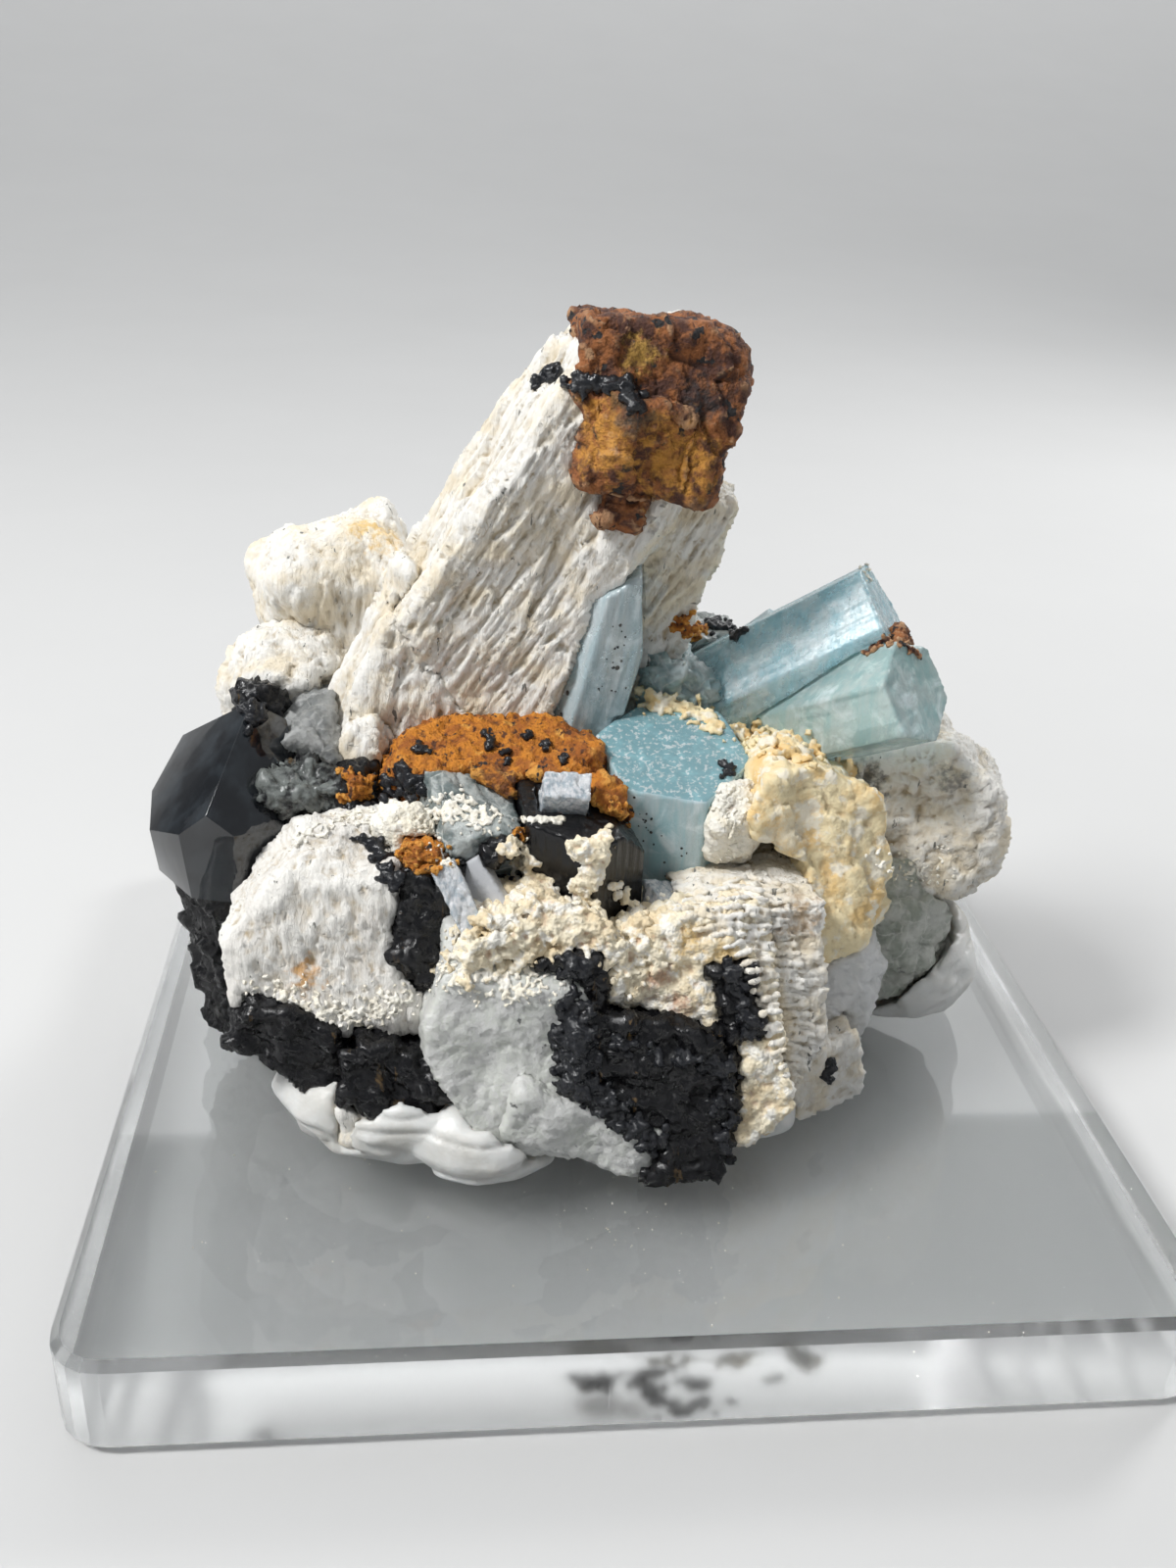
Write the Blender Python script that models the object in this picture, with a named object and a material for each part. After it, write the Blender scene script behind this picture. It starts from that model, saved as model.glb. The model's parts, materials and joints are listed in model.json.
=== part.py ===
"""Aquamarine specimen on its display slab: crystals on matrix, held up by mineral putty.

Lengths are millimetres while the stones are shaped, and every mesh is scaled to metres
when its object is made. +Z is up, +Y points away from the viewer, and the origin is the
middle of the slab's underside.
"""
import math
from dataclasses import dataclass

import bmesh
import bpy
from mathutils import Euler, Matrix, Vector, noise

MM = 0.001
GAP = 0.3               # clearance kept between stones that touch
WELD = 0.02             # points closer than this after a cut become one
FLATTEN = 4.0           # facets that differ by fewer degrees become one
WASTE = 120.0           # side of the cube that cuts a rough body flat
SHARPEST = 2.0          # a sharp corner moves out by at most this many margins

HOLLOWS = 1.4           # how much the wide hollows and the small chips count in the wear
CHIPS = 0.7
CHIP_SCALE = 2.3        # chips are this many times finer than hollows
DEEPEST = 0.4           # no point wears further towards the middle than this share
SEED_STEP = Vector((7.3, 3.1, 5.7))   # how far one seed moves the pattern of wear

LATHS_ROUND = 2.6       # how fast the laths change around a feldspar crystal, and along it
LATHS_ALONG = 1.8
LATH_STEPS = 4.0        # a lath's height is rounded to this many steps

SLAB_SIDE = 64.0
SLAB_THICK = 6.4
SLAB_CORNER = 3.0       # radius of the four upright corners
SLAB_CHAMFER = 0.5
FLOOR = SLAB_THICK + GAP  # lowest height of anything that stands on the slab

TALL_LENGTH = 31.0      # the tall feldspar, along its own axis
TALL_WIDTH = 12.6
TALL_TAPER = 0.76
BERYL_FRONT = 8.6       # widths of the aquamarines, across flats
BERYL_BACK = 7.0
BERYL_LARGE = 7.4
BERYL_HEX = 6.0
SCHORL_LEFT = 7.6       # widths of the black tourmaline columns
SCHORL_FRONT = 7.0

COLLECTION = "aquamarine_specimen"
ON_SLAB = (((0.0, 0.0, FLOOR), (0.0, 0.0, -1.0)),)  # cut flat where it meets the slab


def chop(bm, point, direction):
    """Cut off everything beyond a plane and close the cut with one flat face."""
    geometry = bm.verts[:] + bm.edges[:] + bm.faces[:]
    cut = bmesh.ops.bisect_plane(bm, geom=geometry, plane_co=Vector(point),
                                 plane_no=Vector(direction).normalized(), clear_outer=True)
    rim = [part for part in cut["geom_cut"] if isinstance(part, bmesh.types.BMEdge)]
    bmesh.ops.edgeloop_fill(bm, edges=rim)
    return bm


def chop_all(bm, cuts):
    for point, direction in cuts:
        chop(bm, point, direction)
    return bm


def place(bm, centre, turn=(0.0, 0.0, 0.0)):
    """Turn a shape about its own origin, in degrees, and move it to its place."""
    rotation = Euler([math.radians(angle) for angle in turn]).to_matrix().to_4x4()
    bm.transform(Matrix.Translation(centre) @ rotation)
    return bm


def block(size, corners=()):
    """A broken block. Each corner is a direction and how far out the break lies, 0 to 1."""
    bm = bmesh.new()
    bmesh.ops.create_cube(bm, size=1.0)
    bmesh.ops.scale(bm, vec=size, verts=bm.verts)
    for direction, share in corners:
        normal = Vector(direction).normalized()
        reach = max(vert.co.dot(normal) for vert in bm.verts)
        chop(bm, normal * reach * share, normal)
    return bm


def lump(radii, level):
    """A rounded lump with the given half sizes."""
    bm = bmesh.new()
    bmesh.ops.create_icosphere(bm, subdivisions=level, radius=1.0)
    bmesh.ops.scale(bm, vec=radii, verts=bm.verts)
    return bm


def column(foot, head, width, sides=6, spin=0.0, flatten=1.0, taper=1.0):
    """A crystal prism from its foot to its head. The width is measured across flats."""
    foot = Vector(foot)
    head = Vector(head)
    axis = head - foot
    radius = width / 2.0 / math.cos(math.pi / sides)
    bm = bmesh.new()
    bmesh.ops.create_cone(bm, cap_ends=True, segments=sides, radius1=radius,
                          radius2=radius * taper, depth=axis.length)
    bm.transform(Matrix.Rotation(math.radians(spin), 4, 'Z'))
    bmesh.ops.scale(bm, vec=(1.0, flatten, 1.0), verts=bm.verts)
    turn = axis.to_track_quat('Z', 'Y').to_matrix().to_4x4()
    bm.transform(Matrix.Translation((foot + head) / 2.0) @ turn)
    return bm


def refine(bm, cell):
    """Split every edge that is longer than a cell."""
    bmesh.ops.triangulate(bm, faces=bm.faces)
    for _ in range(5):
        long_edges = [edge for edge in bm.edges if edge.calc_length() > cell]
        if not long_edges:
            break
        bmesh.ops.subdivide_edges(bm, edges=long_edges, cuts=1)
        bmesh.ops.triangulate(bm, faces=bm.faces)
    return bm


def swollen(bm, margin):
    """A copy of a shape with its surface moved out by a margin."""
    copy = bm.copy()
    copy.normal_update()
    moves = [vert.normal * min(vert.calc_shell_factor(), SHARPEST) * margin for vert in copy.verts]
    for vert, move in zip(copy.verts, moves):
        vert.co += move
    return copy


def weather(bm, cell, depth, wave, seed):
    """Wear a convex shape back unevenly towards its middle, in hollows one wave apart.

    Every point moves straight towards the middle, so the worn skin never crosses itself.
    """
    refine(bm, cell)
    middle = sum((vert.co for vert in bm.verts), Vector()) / len(bm.verts)
    offset = SEED_STEP * seed
    for vert in bm.verts:
        inward = middle - vert.co
        hollow = noise.noise(vert.co / wave + offset)
        chip = noise.noise(vert.co * CHIP_SCALE / wave - offset)
        wear = depth * max(1.0 + HOLLOWS * hollow + CHIPS * chip, 0.0)
        vert.co += inward.normalized() * min(wear, inward.length * DEEPEST)
    return bm


def ribbed(foot, axis, across, length, outline, taper, rungs, depth, seed):
    """A feldspar crystal made of laths: a tapering prism whose skin steps along its length.

    The outline's points are pairs measured across and away from the viewer.
    """
    axis = Vector(axis).normalized()
    across = Vector(across)
    across = (across - axis * across.dot(axis)).normalized()
    away = axis.cross(across)
    bm = bmesh.new()
    face = bm.faces.new([bm.verts.new((x, y, 0.0)) for x, y in outline])
    end = [face]
    for rung in range(rungs):
        grown = bmesh.ops.extrude_face_region(bm, geom=end)
        fresh = [part for part in grown["geom"] if isinstance(part, bmesh.types.BMVert)]
        bmesh.ops.translate(bm, vec=(0.0, 0.0, length / rungs), verts=fresh)
        if rung:
            bmesh.ops.delete(bm, geom=end, context='FACES_ONLY')
        end = [part for part in grown["geom"] if isinstance(part, bmesh.types.BMFace)]
    bmesh.ops.recalc_face_normals(bm, faces=bm.faces)
    for vert in bm.verts:
        up = vert.co.z / length
        angle = math.atan2(vert.co.y, vert.co.x)
        spot = Vector((math.cos(angle) * LATHS_ROUND, math.sin(angle) * LATHS_ROUND,
                       up * LATHS_ALONG + seed))
        step = round(noise.noise(spot) * LATH_STEPS) / LATH_STEPS * depth
        size = (1.0 + (taper - 1.0) * up) * (1.0 + step / (TALL_WIDTH / 2.0))
        vert.co.x *= size
        vert.co.y *= size
    bmesh.ops.triangulate(bm, faces=bm.faces)
    frame = Matrix((across, away, axis)).transposed().to_4x4()
    bm.transform(Matrix.Translation(foot) @ frame)
    return bm


def spread(corners, per_side):
    """Points along the straight sides between a few corners."""
    points = []
    for index, corner in enumerate(corners):
        after = corners[(index + 1) % len(corners)]
        for step in range(per_side):
            share = step / per_side
            points.append((corner[0] + (after[0] - corner[0]) * share,
                           corner[1] + (after[1] - corner[1]) * share))
    return points


def temporary(bm, name):
    mesh = bpy.data.meshes.new(name)
    bm.to_mesh(mesh)
    holder = bpy.data.objects.new(name, mesh)
    cutters.objects.link(holder)
    holder.hide_render = True
    holder.display_type = 'WIRE'
    return holder


def combine(bm, other, operation):
    """Join or cut one shape with another and return the result."""
    body = temporary(bm, "work_body")
    tool = temporary(other, "work_tool")
    modifier = body.modifiers.new("work", 'BOOLEAN')
    modifier.operation = operation
    modifier.solver = 'EXACT'
    modifier.use_self = True
    modifier.object = tool
    graph = bpy.context.evaluated_depsgraph_get()
    mesh = bpy.data.meshes.new_from_object(body.evaluated_get(graph))
    result = bmesh.new()
    result.from_mesh(mesh)
    for holder in (body, tool):
        data = holder.data
        bpy.data.objects.remove(holder)
        bpy.data.meshes.remove(data)
    bpy.data.meshes.remove(mesh)
    return result


def join(shapes):
    joined = shapes[0]
    for shape in shapes[1:]:
        joined = combine(joined, shape, 'UNION')
    return joined


def cut_flat(bm, point, direction):
    """Cut a rough body flat. The waste is a large cube whose near face lies on the plane."""
    waste = bmesh.new()
    bmesh.ops.create_cube(waste, size=WASTE)
    waste.transform(Matrix.Translation((0.0, 0.0, WASTE / 2.0)))
    turn = Vector(direction).normalized().to_track_quat('Z', 'Y').to_matrix().to_4x4()
    waste.transform(Matrix.Translation(point) @ turn)
    return largest_piece(combine(bm, waste, 'DIFFERENCE'))


def hull(bm):
    """The convex hull of a shape, as a shape of its own."""
    copy = bm.copy()
    found = bmesh.ops.convex_hull(copy, input=copy.verts)
    skin = {part for part in found["geom"] if isinstance(part, bmesh.types.BMFace)}
    inside = [face for face in copy.faces if face not in skin]
    bmesh.ops.delete(copy, geom=inside, context='FACES')
    loose = [vert for vert in copy.verts if not vert.link_faces]
    bmesh.ops.delete(copy, geom=loose, context='VERTS')
    bmesh.ops.recalc_face_normals(copy, faces=copy.faces)
    return copy


def largest_piece(bm):
    """Keep only the largest connected body."""
    left = set(bm.faces)
    bodies = []
    while left:
        seed = left.pop()
        body = {seed}
        edge_of = [seed]
        while edge_of:
            face = edge_of.pop()
            for edge in face.edges:
                for near in edge.link_faces:
                    if near in left:
                        left.remove(near)
                        body.add(near)
                        edge_of.append(near)
        bodies.append(body)
    bodies.sort(key=lambda body: sum(face.calc_area() for face in body), reverse=True)
    for body in bodies[1:]:
        bmesh.ops.delete(bm, geom=list(body), context='FACES')
    return bm


def closed(bm):
    edges_meet = all(len(edge.link_faces) == 2 for edge in bm.edges)
    return edges_meet and all(vert.is_manifold for vert in bm.verts)


def tidy(bm, name):
    """Weld the slivers that a cut leaves, as long as the body stays closed."""
    for share in (1.0, 0.5, 0.25, 0.1, 0.02):
        distance = WELD * share
        trial = bm.copy()
        bmesh.ops.dissolve_limit(trial, angle_limit=math.radians(FLATTEN * share),
                                 verts=trial.verts, edges=trial.edges)
        bmesh.ops.triangulate(trial, faces=trial.faces)
        bmesh.ops.remove_doubles(trial, verts=trial.verts, dist=distance)
        bmesh.ops.dissolve_degenerate(trial, dist=distance / 2.0, edges=trial.edges)
        largest_piece(trial)
        bmesh.ops.triangulate(trial, faces=trial.faces)
        if closed(trial):
            return trial
        trial.free()
    raise ValueError(f"{name} isn't closed")


def limits(bm):
    low = [min(vert.co[i] for vert in bm.verts) for i in range(3)]
    high = [max(vert.co[i] for vert in bm.verts) for i in range(3)]
    return low, high


def near(first, second):
    low_a, high_a = limits(first)
    low_b, high_b = limits(second)
    return all(low_a[i] - GAP < high_b[i] + GAP and low_b[i] - GAP < high_a[i] + GAP
               for i in range(3))


def material(name, colour, roughness, metallic=0.0, transmission=0.0):
    finish = bpy.data.materials.new(name)
    finish.use_nodes = True
    shader = finish.node_tree.nodes["Principled BSDF"]
    shader.inputs["Base Color"].default_value = (*colour, 1.0)
    shader.inputs["Roughness"].default_value = roughness
    shader.inputs["Metallic"].default_value = metallic
    shader.inputs["Transmission Weight"].default_value = transmission
    finish.diffuse_color = (*colour, 1.0)
    return finish


def make_object(name, bm, finish):
    """Make the named object, with its origin in the middle of its own stone."""
    low, high = limits(bm)
    middle = Vector([(low[i] + high[i]) / 2.0 for i in range(3)])
    bm.transform(Matrix.Translation(-middle))
    bm.transform(Matrix.Scale(MM, 4))
    mesh = bpy.data.meshes.new(name)
    bm.to_mesh(mesh)
    mesh.materials.append(finish)
    thing = bpy.data.objects.new(name, mesh)
    thing.location = middle * MM
    parts.objects.link(thing)
    return thing


def rise(edge):
    return abs(edge.verts[0].co.z - edge.verts[1].co.z)


def slab():
    """The clear display slab, with rounded upright corners and a small chamfer."""
    bm = bmesh.new()
    bmesh.ops.create_cube(bm, size=1.0)
    bmesh.ops.scale(bm, vec=(SLAB_SIDE, SLAB_SIDE, SLAB_THICK), verts=bm.verts)
    upright = [edge for edge in bm.edges if rise(edge) > SLAB_THICK / 2.0]
    bmesh.ops.bevel(bm, geom=upright, offset=SLAB_CORNER, segments=5, profile=0.5,
                    affect='EDGES')
    rims = [edge for edge in bm.edges if rise(edge) < WELD]
    bmesh.ops.bevel(bm, geom=rims, offset=SLAB_CHAMFER, segments=1, profile=0.5,
                    affect='EDGES')
    bm.transform(Matrix.Translation((0.0, 0.0, SLAB_THICK / 2.0)))
    return bm


@dataclass
class Stone:
    """A stone: the convex shapes it is joined from, and how its surface is worn."""

    name: str
    finish: object
    shapes: list
    cell: float = 0.0
    depth: float = 0.0
    wave: float = 1.0
    seed: int = 0
    cuts: tuple = ()


def body_and_rooms(stone):
    """The stone's own solid, and the rooms that its neighbours leave free for it."""
    outer = [swollen(shape, stone.depth) for shape in stone.shapes]
    rooms = [hull(swollen(shape, GAP)) for shape in outer]
    if stone.cell:
        for index, shape in enumerate(outer):
            weather(shape, stone.cell, stone.depth, stone.wave, stone.seed + index)
    body = join(outer)
    for point, direction in stone.cuts:
        body = cut_flat(body, point, direction)
    return body, rooms


def aquamarine_front():
    """The stout crystal in the middle, with a smaller one joined behind it."""
    main = column((3.2, -2.6, 12.0), (3.0, -4.8, 28.9), BERYL_FRONT, spin=22.0)
    chop(main, (2.6, -5.5, 28.2), (0.0, -0.35, 1.0))
    dome = place(lump((3.1, 2.6, 3.4), 1), (4.4, -0.6, 26.2))
    return [main, dome]


def aquamarine_back():
    """The grey-blue crystal that stands against the tall feldspar."""
    bm = column((-4.0, 0.9, 22.0), (0.7, 0.9, 42.5), BERYL_BACK, spin=12.0, flatten=0.8)
    return [chop_all(bm, [((-0.4, 1.0, 38.8), (-0.5, -0.1, 0.85)),
                          ((1.1, 1.0, 36.0), (1.0, -0.1, 0.06))])]


def aquamarine_large():
    """The long crystal at the right, with a short one grown along its upper side."""
    main = column((4.4, 4.8, 25.9), (17.6, 0.9, 35.2), BERYL_LARGE, spin=18.0)
    side = column((4.6, 5.8, 25.4), (11.8, 3.6, 32.6), 4.6, spin=30.0)
    return [main, side]


def feldspar_tall():
    """The tall leaning crystal and the parallel one grown on its right side."""
    corners = [(-7.0, 1.0), (-5.0, -3.6), (5.4, -4.6), (6.9, 0.4), (3.2, 5.6), (-4.0, 5.4)]
    main = ribbed((-12.2, 2.6, 28.6), (0.505, -0.08, 0.86), (0.86, 0.06, -0.51), TALL_LENGTH,
                  spread(corners, 3), TALL_TAPER, 6, 0.9, 1.5)
    chop_all(main, [((-11.2, 0.0, 31.0), (-0.83, 0.0, -0.56)),
                    ((0.0, 0.0, 52.3), (-0.05, -0.1, 1.0)),
                    ((4.9, 0.0, 51.0), (1.0, 0.0, 0.35))])
    corners = [(-3.6, -3.2), (3.4, -3.0), (3.8, 2.6), (-3.2, 3.0)]
    side = ribbed((-2.2, 5.2, 24.0), (0.31, -0.05, 0.95), (0.9, 0.0, -0.3), 20.2,
                  spread(corners, 3), 0.85, 4, 0.8, 4.5)
    return [main, side]


def feldspar_foot():
    """Laths that end in curled lobes at the tall crystal's lower left."""
    corners = [(-3.9, 0.0), (-2.6, -3.4), (4.4, -3.6), (5.2, 1.5), (0.0, 4.2)]
    main = ribbed((-16.6, 1.4, 24.0), (0.36, 0.04, 0.93), (0.9, 0.0, -0.35), 14.5,
                  spread(corners, 3), 0.84, 4, 0.9, 8.5)
    lobe = place(lump((1.8, 1.6, 2.2), 1), (-16.6, -2.6, 27.4), (0.0, 25.0, 0.0))
    return [main, lobe]


def schorl_left():
    """The black column at the left, ended by three glossy faces."""
    bm = column((-24.4, -1.6, 5.0), (-25.4, -5.2, 31.0), SCHORL_LEFT, sides=9, spin=10.0,
                taper=1.25)
    return [chop_all(bm, [((-25.9, -2.7, 28.5), (-0.66, -0.31, 0.68)),
                          ((-24.0, -6.0, 28.2), (0.56, -0.64, 0.53)),
                          ((-25.0, -1.6, 28.4), (0.1, 0.85, 0.5)),
                          ((-30.1, -4.0, 21.0), (-1.0, 0.0, -0.1)),
                          ((-26.0, -3.0, FLOOR), (0.0, 0.0, -1.0))])]


def schorl_front_prism():
    """The black prism in front, with a sloping grey end."""
    bm = column((-2.9, -8.4, 8.0), (-3.3, -9.8, 28.5), SCHORL_FRONT, sides=6, spin=25.0)
    return [chop_all(bm, [((-3.2, -10.0, 26.9), (0.15, -0.2, 1.0)),
                          ((0.2, -9.5, 24.6), (0.7, 0.1, 0.7))])]


def limonite_cap_top():
    """The brown cap: a lumpy crown, two blocky faces below it and a thin tongue."""
    crown = place(block((8.9, 6.6, 5.2), [((1, 0, 1), 0.86), ((-1, 0, -1), 0.8)]),
                  (0.9, -0.4, 50.6), (-6.0, 4.0, 0.0))
    left = place(block((4.6, 3.4, 4.8), [((-1, -1, 0), 0.8), ((0, -1, -1), 0.8)]),
                 (-0.5, -3.2, 47.3), (4.0, 14.0, 10.0))
    right = place(block((4.2, 4.2, 5.6), [((1, -1, 0), 0.8), ((0, -1, 1), 0.85)]),
                  (2.7, -2.2, 47.1), (-4.0, 12.0, -8.0))
    tongue = place(block((1.6, 2.4, 4.6)), (-0.5, -2.6, 44.6), (0.0, 18.0, 0.0))
    return [crown, left, right, tongue]


def schorl_front_low():
    """The rough black mass low in front, with an arm that reaches up on its left."""
    mass = place(block((10.2, 6.0, 9.0), [((1, -0.8, 0.6), 0.78), ((-0.8, -0.3, -1), 0.62)]),
                 (0.6, -15.6, 11.0), (-14.0, 12.0, 0.0))
    arm = place(block((2.8, 4.0, 8.0)), (-3.6, -14.6, 15.8), (-12.0, -8.0, 0.0))
    return [mass, arm]


def quartz_plate():
    """The pale quartz in front, which ends in a tongue low on its right."""
    plate = place(block((9.4, 5.4, 12.6), [((1, 0, 0.8), 0.66), ((-1, 0, -0.9), 0.54),
                                           ((0, -1, 1), 0.72)]),
                  (-7.6, -14.8, 14.2), (-12.0, 10.0, 0.0))
    tongue = place(block((9.0, 3.4, 3.0)), (-3.2, -17.4, 9.8), (0.0, 22.0, 0.0))
    return [plate, tongue]


def placed(shape, centre, turn=(0.0, 0.0, 0.0)):
    return [place(shape, centre, turn)]


def crystals():
    """Crisp crystals, in the order in which they keep their full shape."""
    yield Stone("clear_prism_upper", clear, placed(
        block((2.7, 1.6, 2.6)), (-4.3, -10.2, 27.9), (38, 4, 0)))
    yield Stone("clear_prism_lower", clear, placed(
        block((1.35, 1.1, 4.4)), (-10.6, -14.2, 23.2), (-28, -22, 12)))
    yield Stone("schorl_blade", black, placed(
        block((1.7, 1.0, 3.8)), (-9.0, -12.7, 22.9), (-20, -38, -8)))
    yield Stone("schorl_left", black, schorl_left())
    yield Stone("aquamarine_front", beryl, aquamarine_front())
    yield Stone("schorl_front_prism", black, schorl_front_prism())
    yield Stone("aquamarine_back", beryl, aquamarine_back())
    yield Stone("aquamarine_hex", beryl, [
        column((9.4, 4.6, 25.2), (18.2, -4.7, 32.4), BERYL_HEX, spin=8.0)])
    yield Stone("aquamarine_large", beryl, aquamarine_large())
    yield Stone("quartz_small_clear", clear, placed(
        block((2.2, 2.0, 2.4)), (1.7, -10.6, 20.4), (10, 20, 30)))


def stones():
    """Rough stones and crusts. Each one gives way to those named before it."""
    yield Stone("feldspar_tall", feldspar, feldspar_tall())
    yield Stone("feldspar_foot", feldspar, feldspar_foot())
    yield Stone("limonite_cap_top", limonite, limonite_cap_top(), 3.6, 0.4, 2.4, 2)
    yield Stone("schorl_sliver_right", black, placed(
        block((1.6, 1.6, 4.6)), (6.1, -15.6, 17.0), (-20, -16, 0)), 3.0, 0.2, 1.5, 3)
    yield Stone("quartz_plate", milky, quartz_plate(), 4.8, 0.3, 4.0, 5, ON_SLAB)
    yield Stone("schorl_front_low", black, schorl_front_low(), 4.6, 0.4, 3.0, 4, ON_SLAB)
    yield Stone("albite_crust_upper", cream, placed(
        block((9.6, 3.6, 8.0), [((1, 0, 1), 0.5), ((-1, 0, 1), 0.74), ((-1, 0, -1), 0.75)]),
        (-5.4, -13.6, 20.6), (-14, 14, 0)), 3.4, 0.4, 2.4, 6)
    yield Stone("albite_patch", cream, placed(
        lump((2.3, 1.6, 3.0), 1), (6.4, -8.2, 25.0), (0, -24, 30)), 3.6, 0.3, 1.8, 7)
    yield Stone("feldspar_front_center", cream, placed(
        block((9.4, 7.0, 14.6), [((-1, -0.4, 1), 0.8), ((1, -0.2, -1), 0.86),
                                 ((1, -1, 0.2), 0.84)]),
        (3.9, -13.2, 14.2), (-16, -10, 0)), 5.0, 0.5, 3.4, 8, ON_SLAB)
    yield Stone("feldspar_ribbed_right", feldspar, placed(
        block((7.8, 8.0, 15.0), [((1, -0.2, -1), 0.8), ((1, 0, 1), 0.84), ((-1, 0, 1), 0.84)]),
        (7.1, -10.4, 16.4), (-12, -4, 10)), 5.0, 0.4, 3.0, 9)
    yield Stone("feldspar_chip_right", feldspar, placed(
        block((5.2, 4.8, 4.6), [((1, 0, -1), 0.8)]), (12.4, -11.2, 9.2), (0, -20, 20)),
        4.2, 0.3, 2.0, 10, ON_SLAB)
    yield Stone("feldspar_yellow", ochre, placed(
        block((7.6, 8.0, 12.6), [((1, 0, 1), 0.66), ((1, -1, -0.6), 0.74), ((-1, 0, 1), 0.85)]),
        (11.8, -5.6, 22.2), (-10, -16, 12)), 5.0, 0.4, 3.2, 11)
    yield Stone("feldspar_right", feldspar, placed(
        block((11.0, 9.0, 9.8), [((1, 0, 1), 0.7), ((-1, 0, 1), 0.8), ((1, -1, -1), 0.82)]),
        (21.6, 2.2, 20.8), (-8, -10, -14)), 5.0, 0.5, 3.0, 12)
    yield Stone("quartz_grey_right", milky, placed(
        lump((6.2, 5.4, 6.2), 2), (17.9, -1.4, 13.6), (0, 12, 0)), 5.0, 0.5, 4.0, 13, ON_SLAB)
    yield Stone("quartz_white_right", milky, placed(
        lump((4.2, 4.6, 6.2), 2), (13.4, -7.0, 12.4), (0, 16, 0)), 5.0, 0.4, 3.0, 14, ON_SLAB)
    yield Stone("limonite_seam", limonite, placed(
        block((5.0, 3.4, 1.6)), (15.8, -1.8, 33.0), (20, -28, -20)), 3.4, 0.2, 1.6, 15)
    yield Stone("limonite_small_left", limonite, placed(
        lump((1.7, 1.2, 1.1), 1), (-12.4, -11.6, 24.4), (0, 20, 0)), 2.4, 0.2, 1.2, 16)
    yield Stone("limonite_small_right", limonite, placed(
        lump((1.4, 1.8, 1.7), 1), (-1.9, -8.9, 26.8)), 2.4, 0.2, 1.2, 17)
    yield Stone("glassy_grey_crystal", grey, placed(
        block((5.4, 5.0, 4.6), [((-1, -1, 1), 0.8), ((1, -1, 0.6), 0.8)]),
        (-9.6, -8.8, 24.6), (20, 10, 20)), 5.0, 0.2, 2.0, 18)
    yield Stone("limonite_cap_center", limonite, placed(
        lump((7.6, 4.6, 4.4), 2), (-8.0, -4.2, 26.0), (-14, 0, 0)), 4.2, 0.5, 3.6, 19,
        (((-8.0, -4.0, 29.0), (-0.05, -0.25, 1.0)),))
    yield Stone("albite_small_left", cream, placed(
        lump((2.2, 1.6, 1.5), 1), (-13.4, -9.8, 25.4), (0, 16, 0)), 2.4, 0.2, 1.4, 39)
    yield Stone("schorl_chips_left", black, placed(
        lump((1.4, 1.6, 2.0), 1), (-23.2, -0.4, 29.0), (0, -25, 0)), 2.4, 0.3, 1.2, 20)
    yield Stone("quartz_left", milky, placed(
        block((6.6, 6.6, 5.6), [((-1, -0.6, 1), 0.8), ((1, -0.4, 1), 0.8)]),
        (-20.6, 0.0, 26.0), (10, -20, -16)), 5.0, 0.3, 2.6, 21)
    yield Stone("schorl_left_rear", black, placed(
        block((8.0, 5.6, 5.0), [((1, -1, 1), 0.8), ((-1, -1, 1), 0.8)]),
        (-19.4, -3.8, 24.6), (12, 4, 0)), 4.6, 0.3, 2.4, 22)
    yield Stone("dark_crystal_back", grey, placed(
        block((6.4, 5.0, 7.0), [((1, 0, 1), 0.75), ((-1, 0, 1), 0.85)]),
        (6.6, 8.2, 28.4), (0, 10, 0)), 4.8, 0.3, 2.6, 23)
    yield Stone("quartz_pale_back", milky, placed(
        block((3.8, 4.0, 8.4), [((1, 0, 1), 0.8)]), (3.6, 1.6, 28.0), (0, 8, 10)),
        4.8, 0.2, 2.6, 24)
    yield Stone("albite_crust_back", ochre, placed(
        lump((7.4, 3.6, 2.8), 1), (9.0, 0.4, 25.4), (0, 14, -14)), 3.6, 0.5, 2.4, 25)
    yield Stone("schorl_center", black, placed(
        block((7.6, 6.6, 9.4), [((-1, -0.6, -1), 0.8), ((1, -0.8, 1), 0.8)]),
        (-10.1, -10.0, 20.8), (-14, 6, 0)), 5.0, 0.4, 2.6, 26)
    yield Stone("schorl_low_left", black, placed(
        block((7.4, 4.4, 3.0), [((1, 0, 1), 0.6)]), (-20.0, -13.0, 13.6), (0, 24, -6)),
        3.6, 0.25, 2.0, 27)
    yield Stone("schorl_low_middle", black, placed(
        block((5.2, 4.2, 3.8), [((-1, -1, -1), 0.85), ((1, -1, 1), 0.85)]),
        (-14.4, -15.0, 11.8), (-10, 16, 0)), 3.6, 0.3, 1.8, 28)
    yield Stone("feldspar_chip_low", feldspar, placed(
        block((6.6, 4.0, 2.4), [((1, -1, 0), 0.8)]), (-14.2, -15.4, 9.6), (0, -4, 0)),
        4.2, 0.2, 2.0, 29)
    yield Stone("feldspar_front_left", feldspar, placed(
        block((13.4, 12.5, 13.0), [((-1, -0.3, 1), 0.62), ((-1, -1, -0.8), 0.84),
                                   ((1, -1, -1), 0.84), ((0, -1, 1), 0.8)]),
        (-17.3, -7.4, 18.4), (-10, -4, 0)), 5.0, 0.4, 3.4, 30)
    yield Stone("feldspar_back_left_lower", feldspar, placed(
        lump((4.4, 4.2, 4.2), 2), (-21.6, 4.6, 28.4)), 4.2, 0.4, 2.6, 31)
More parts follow.
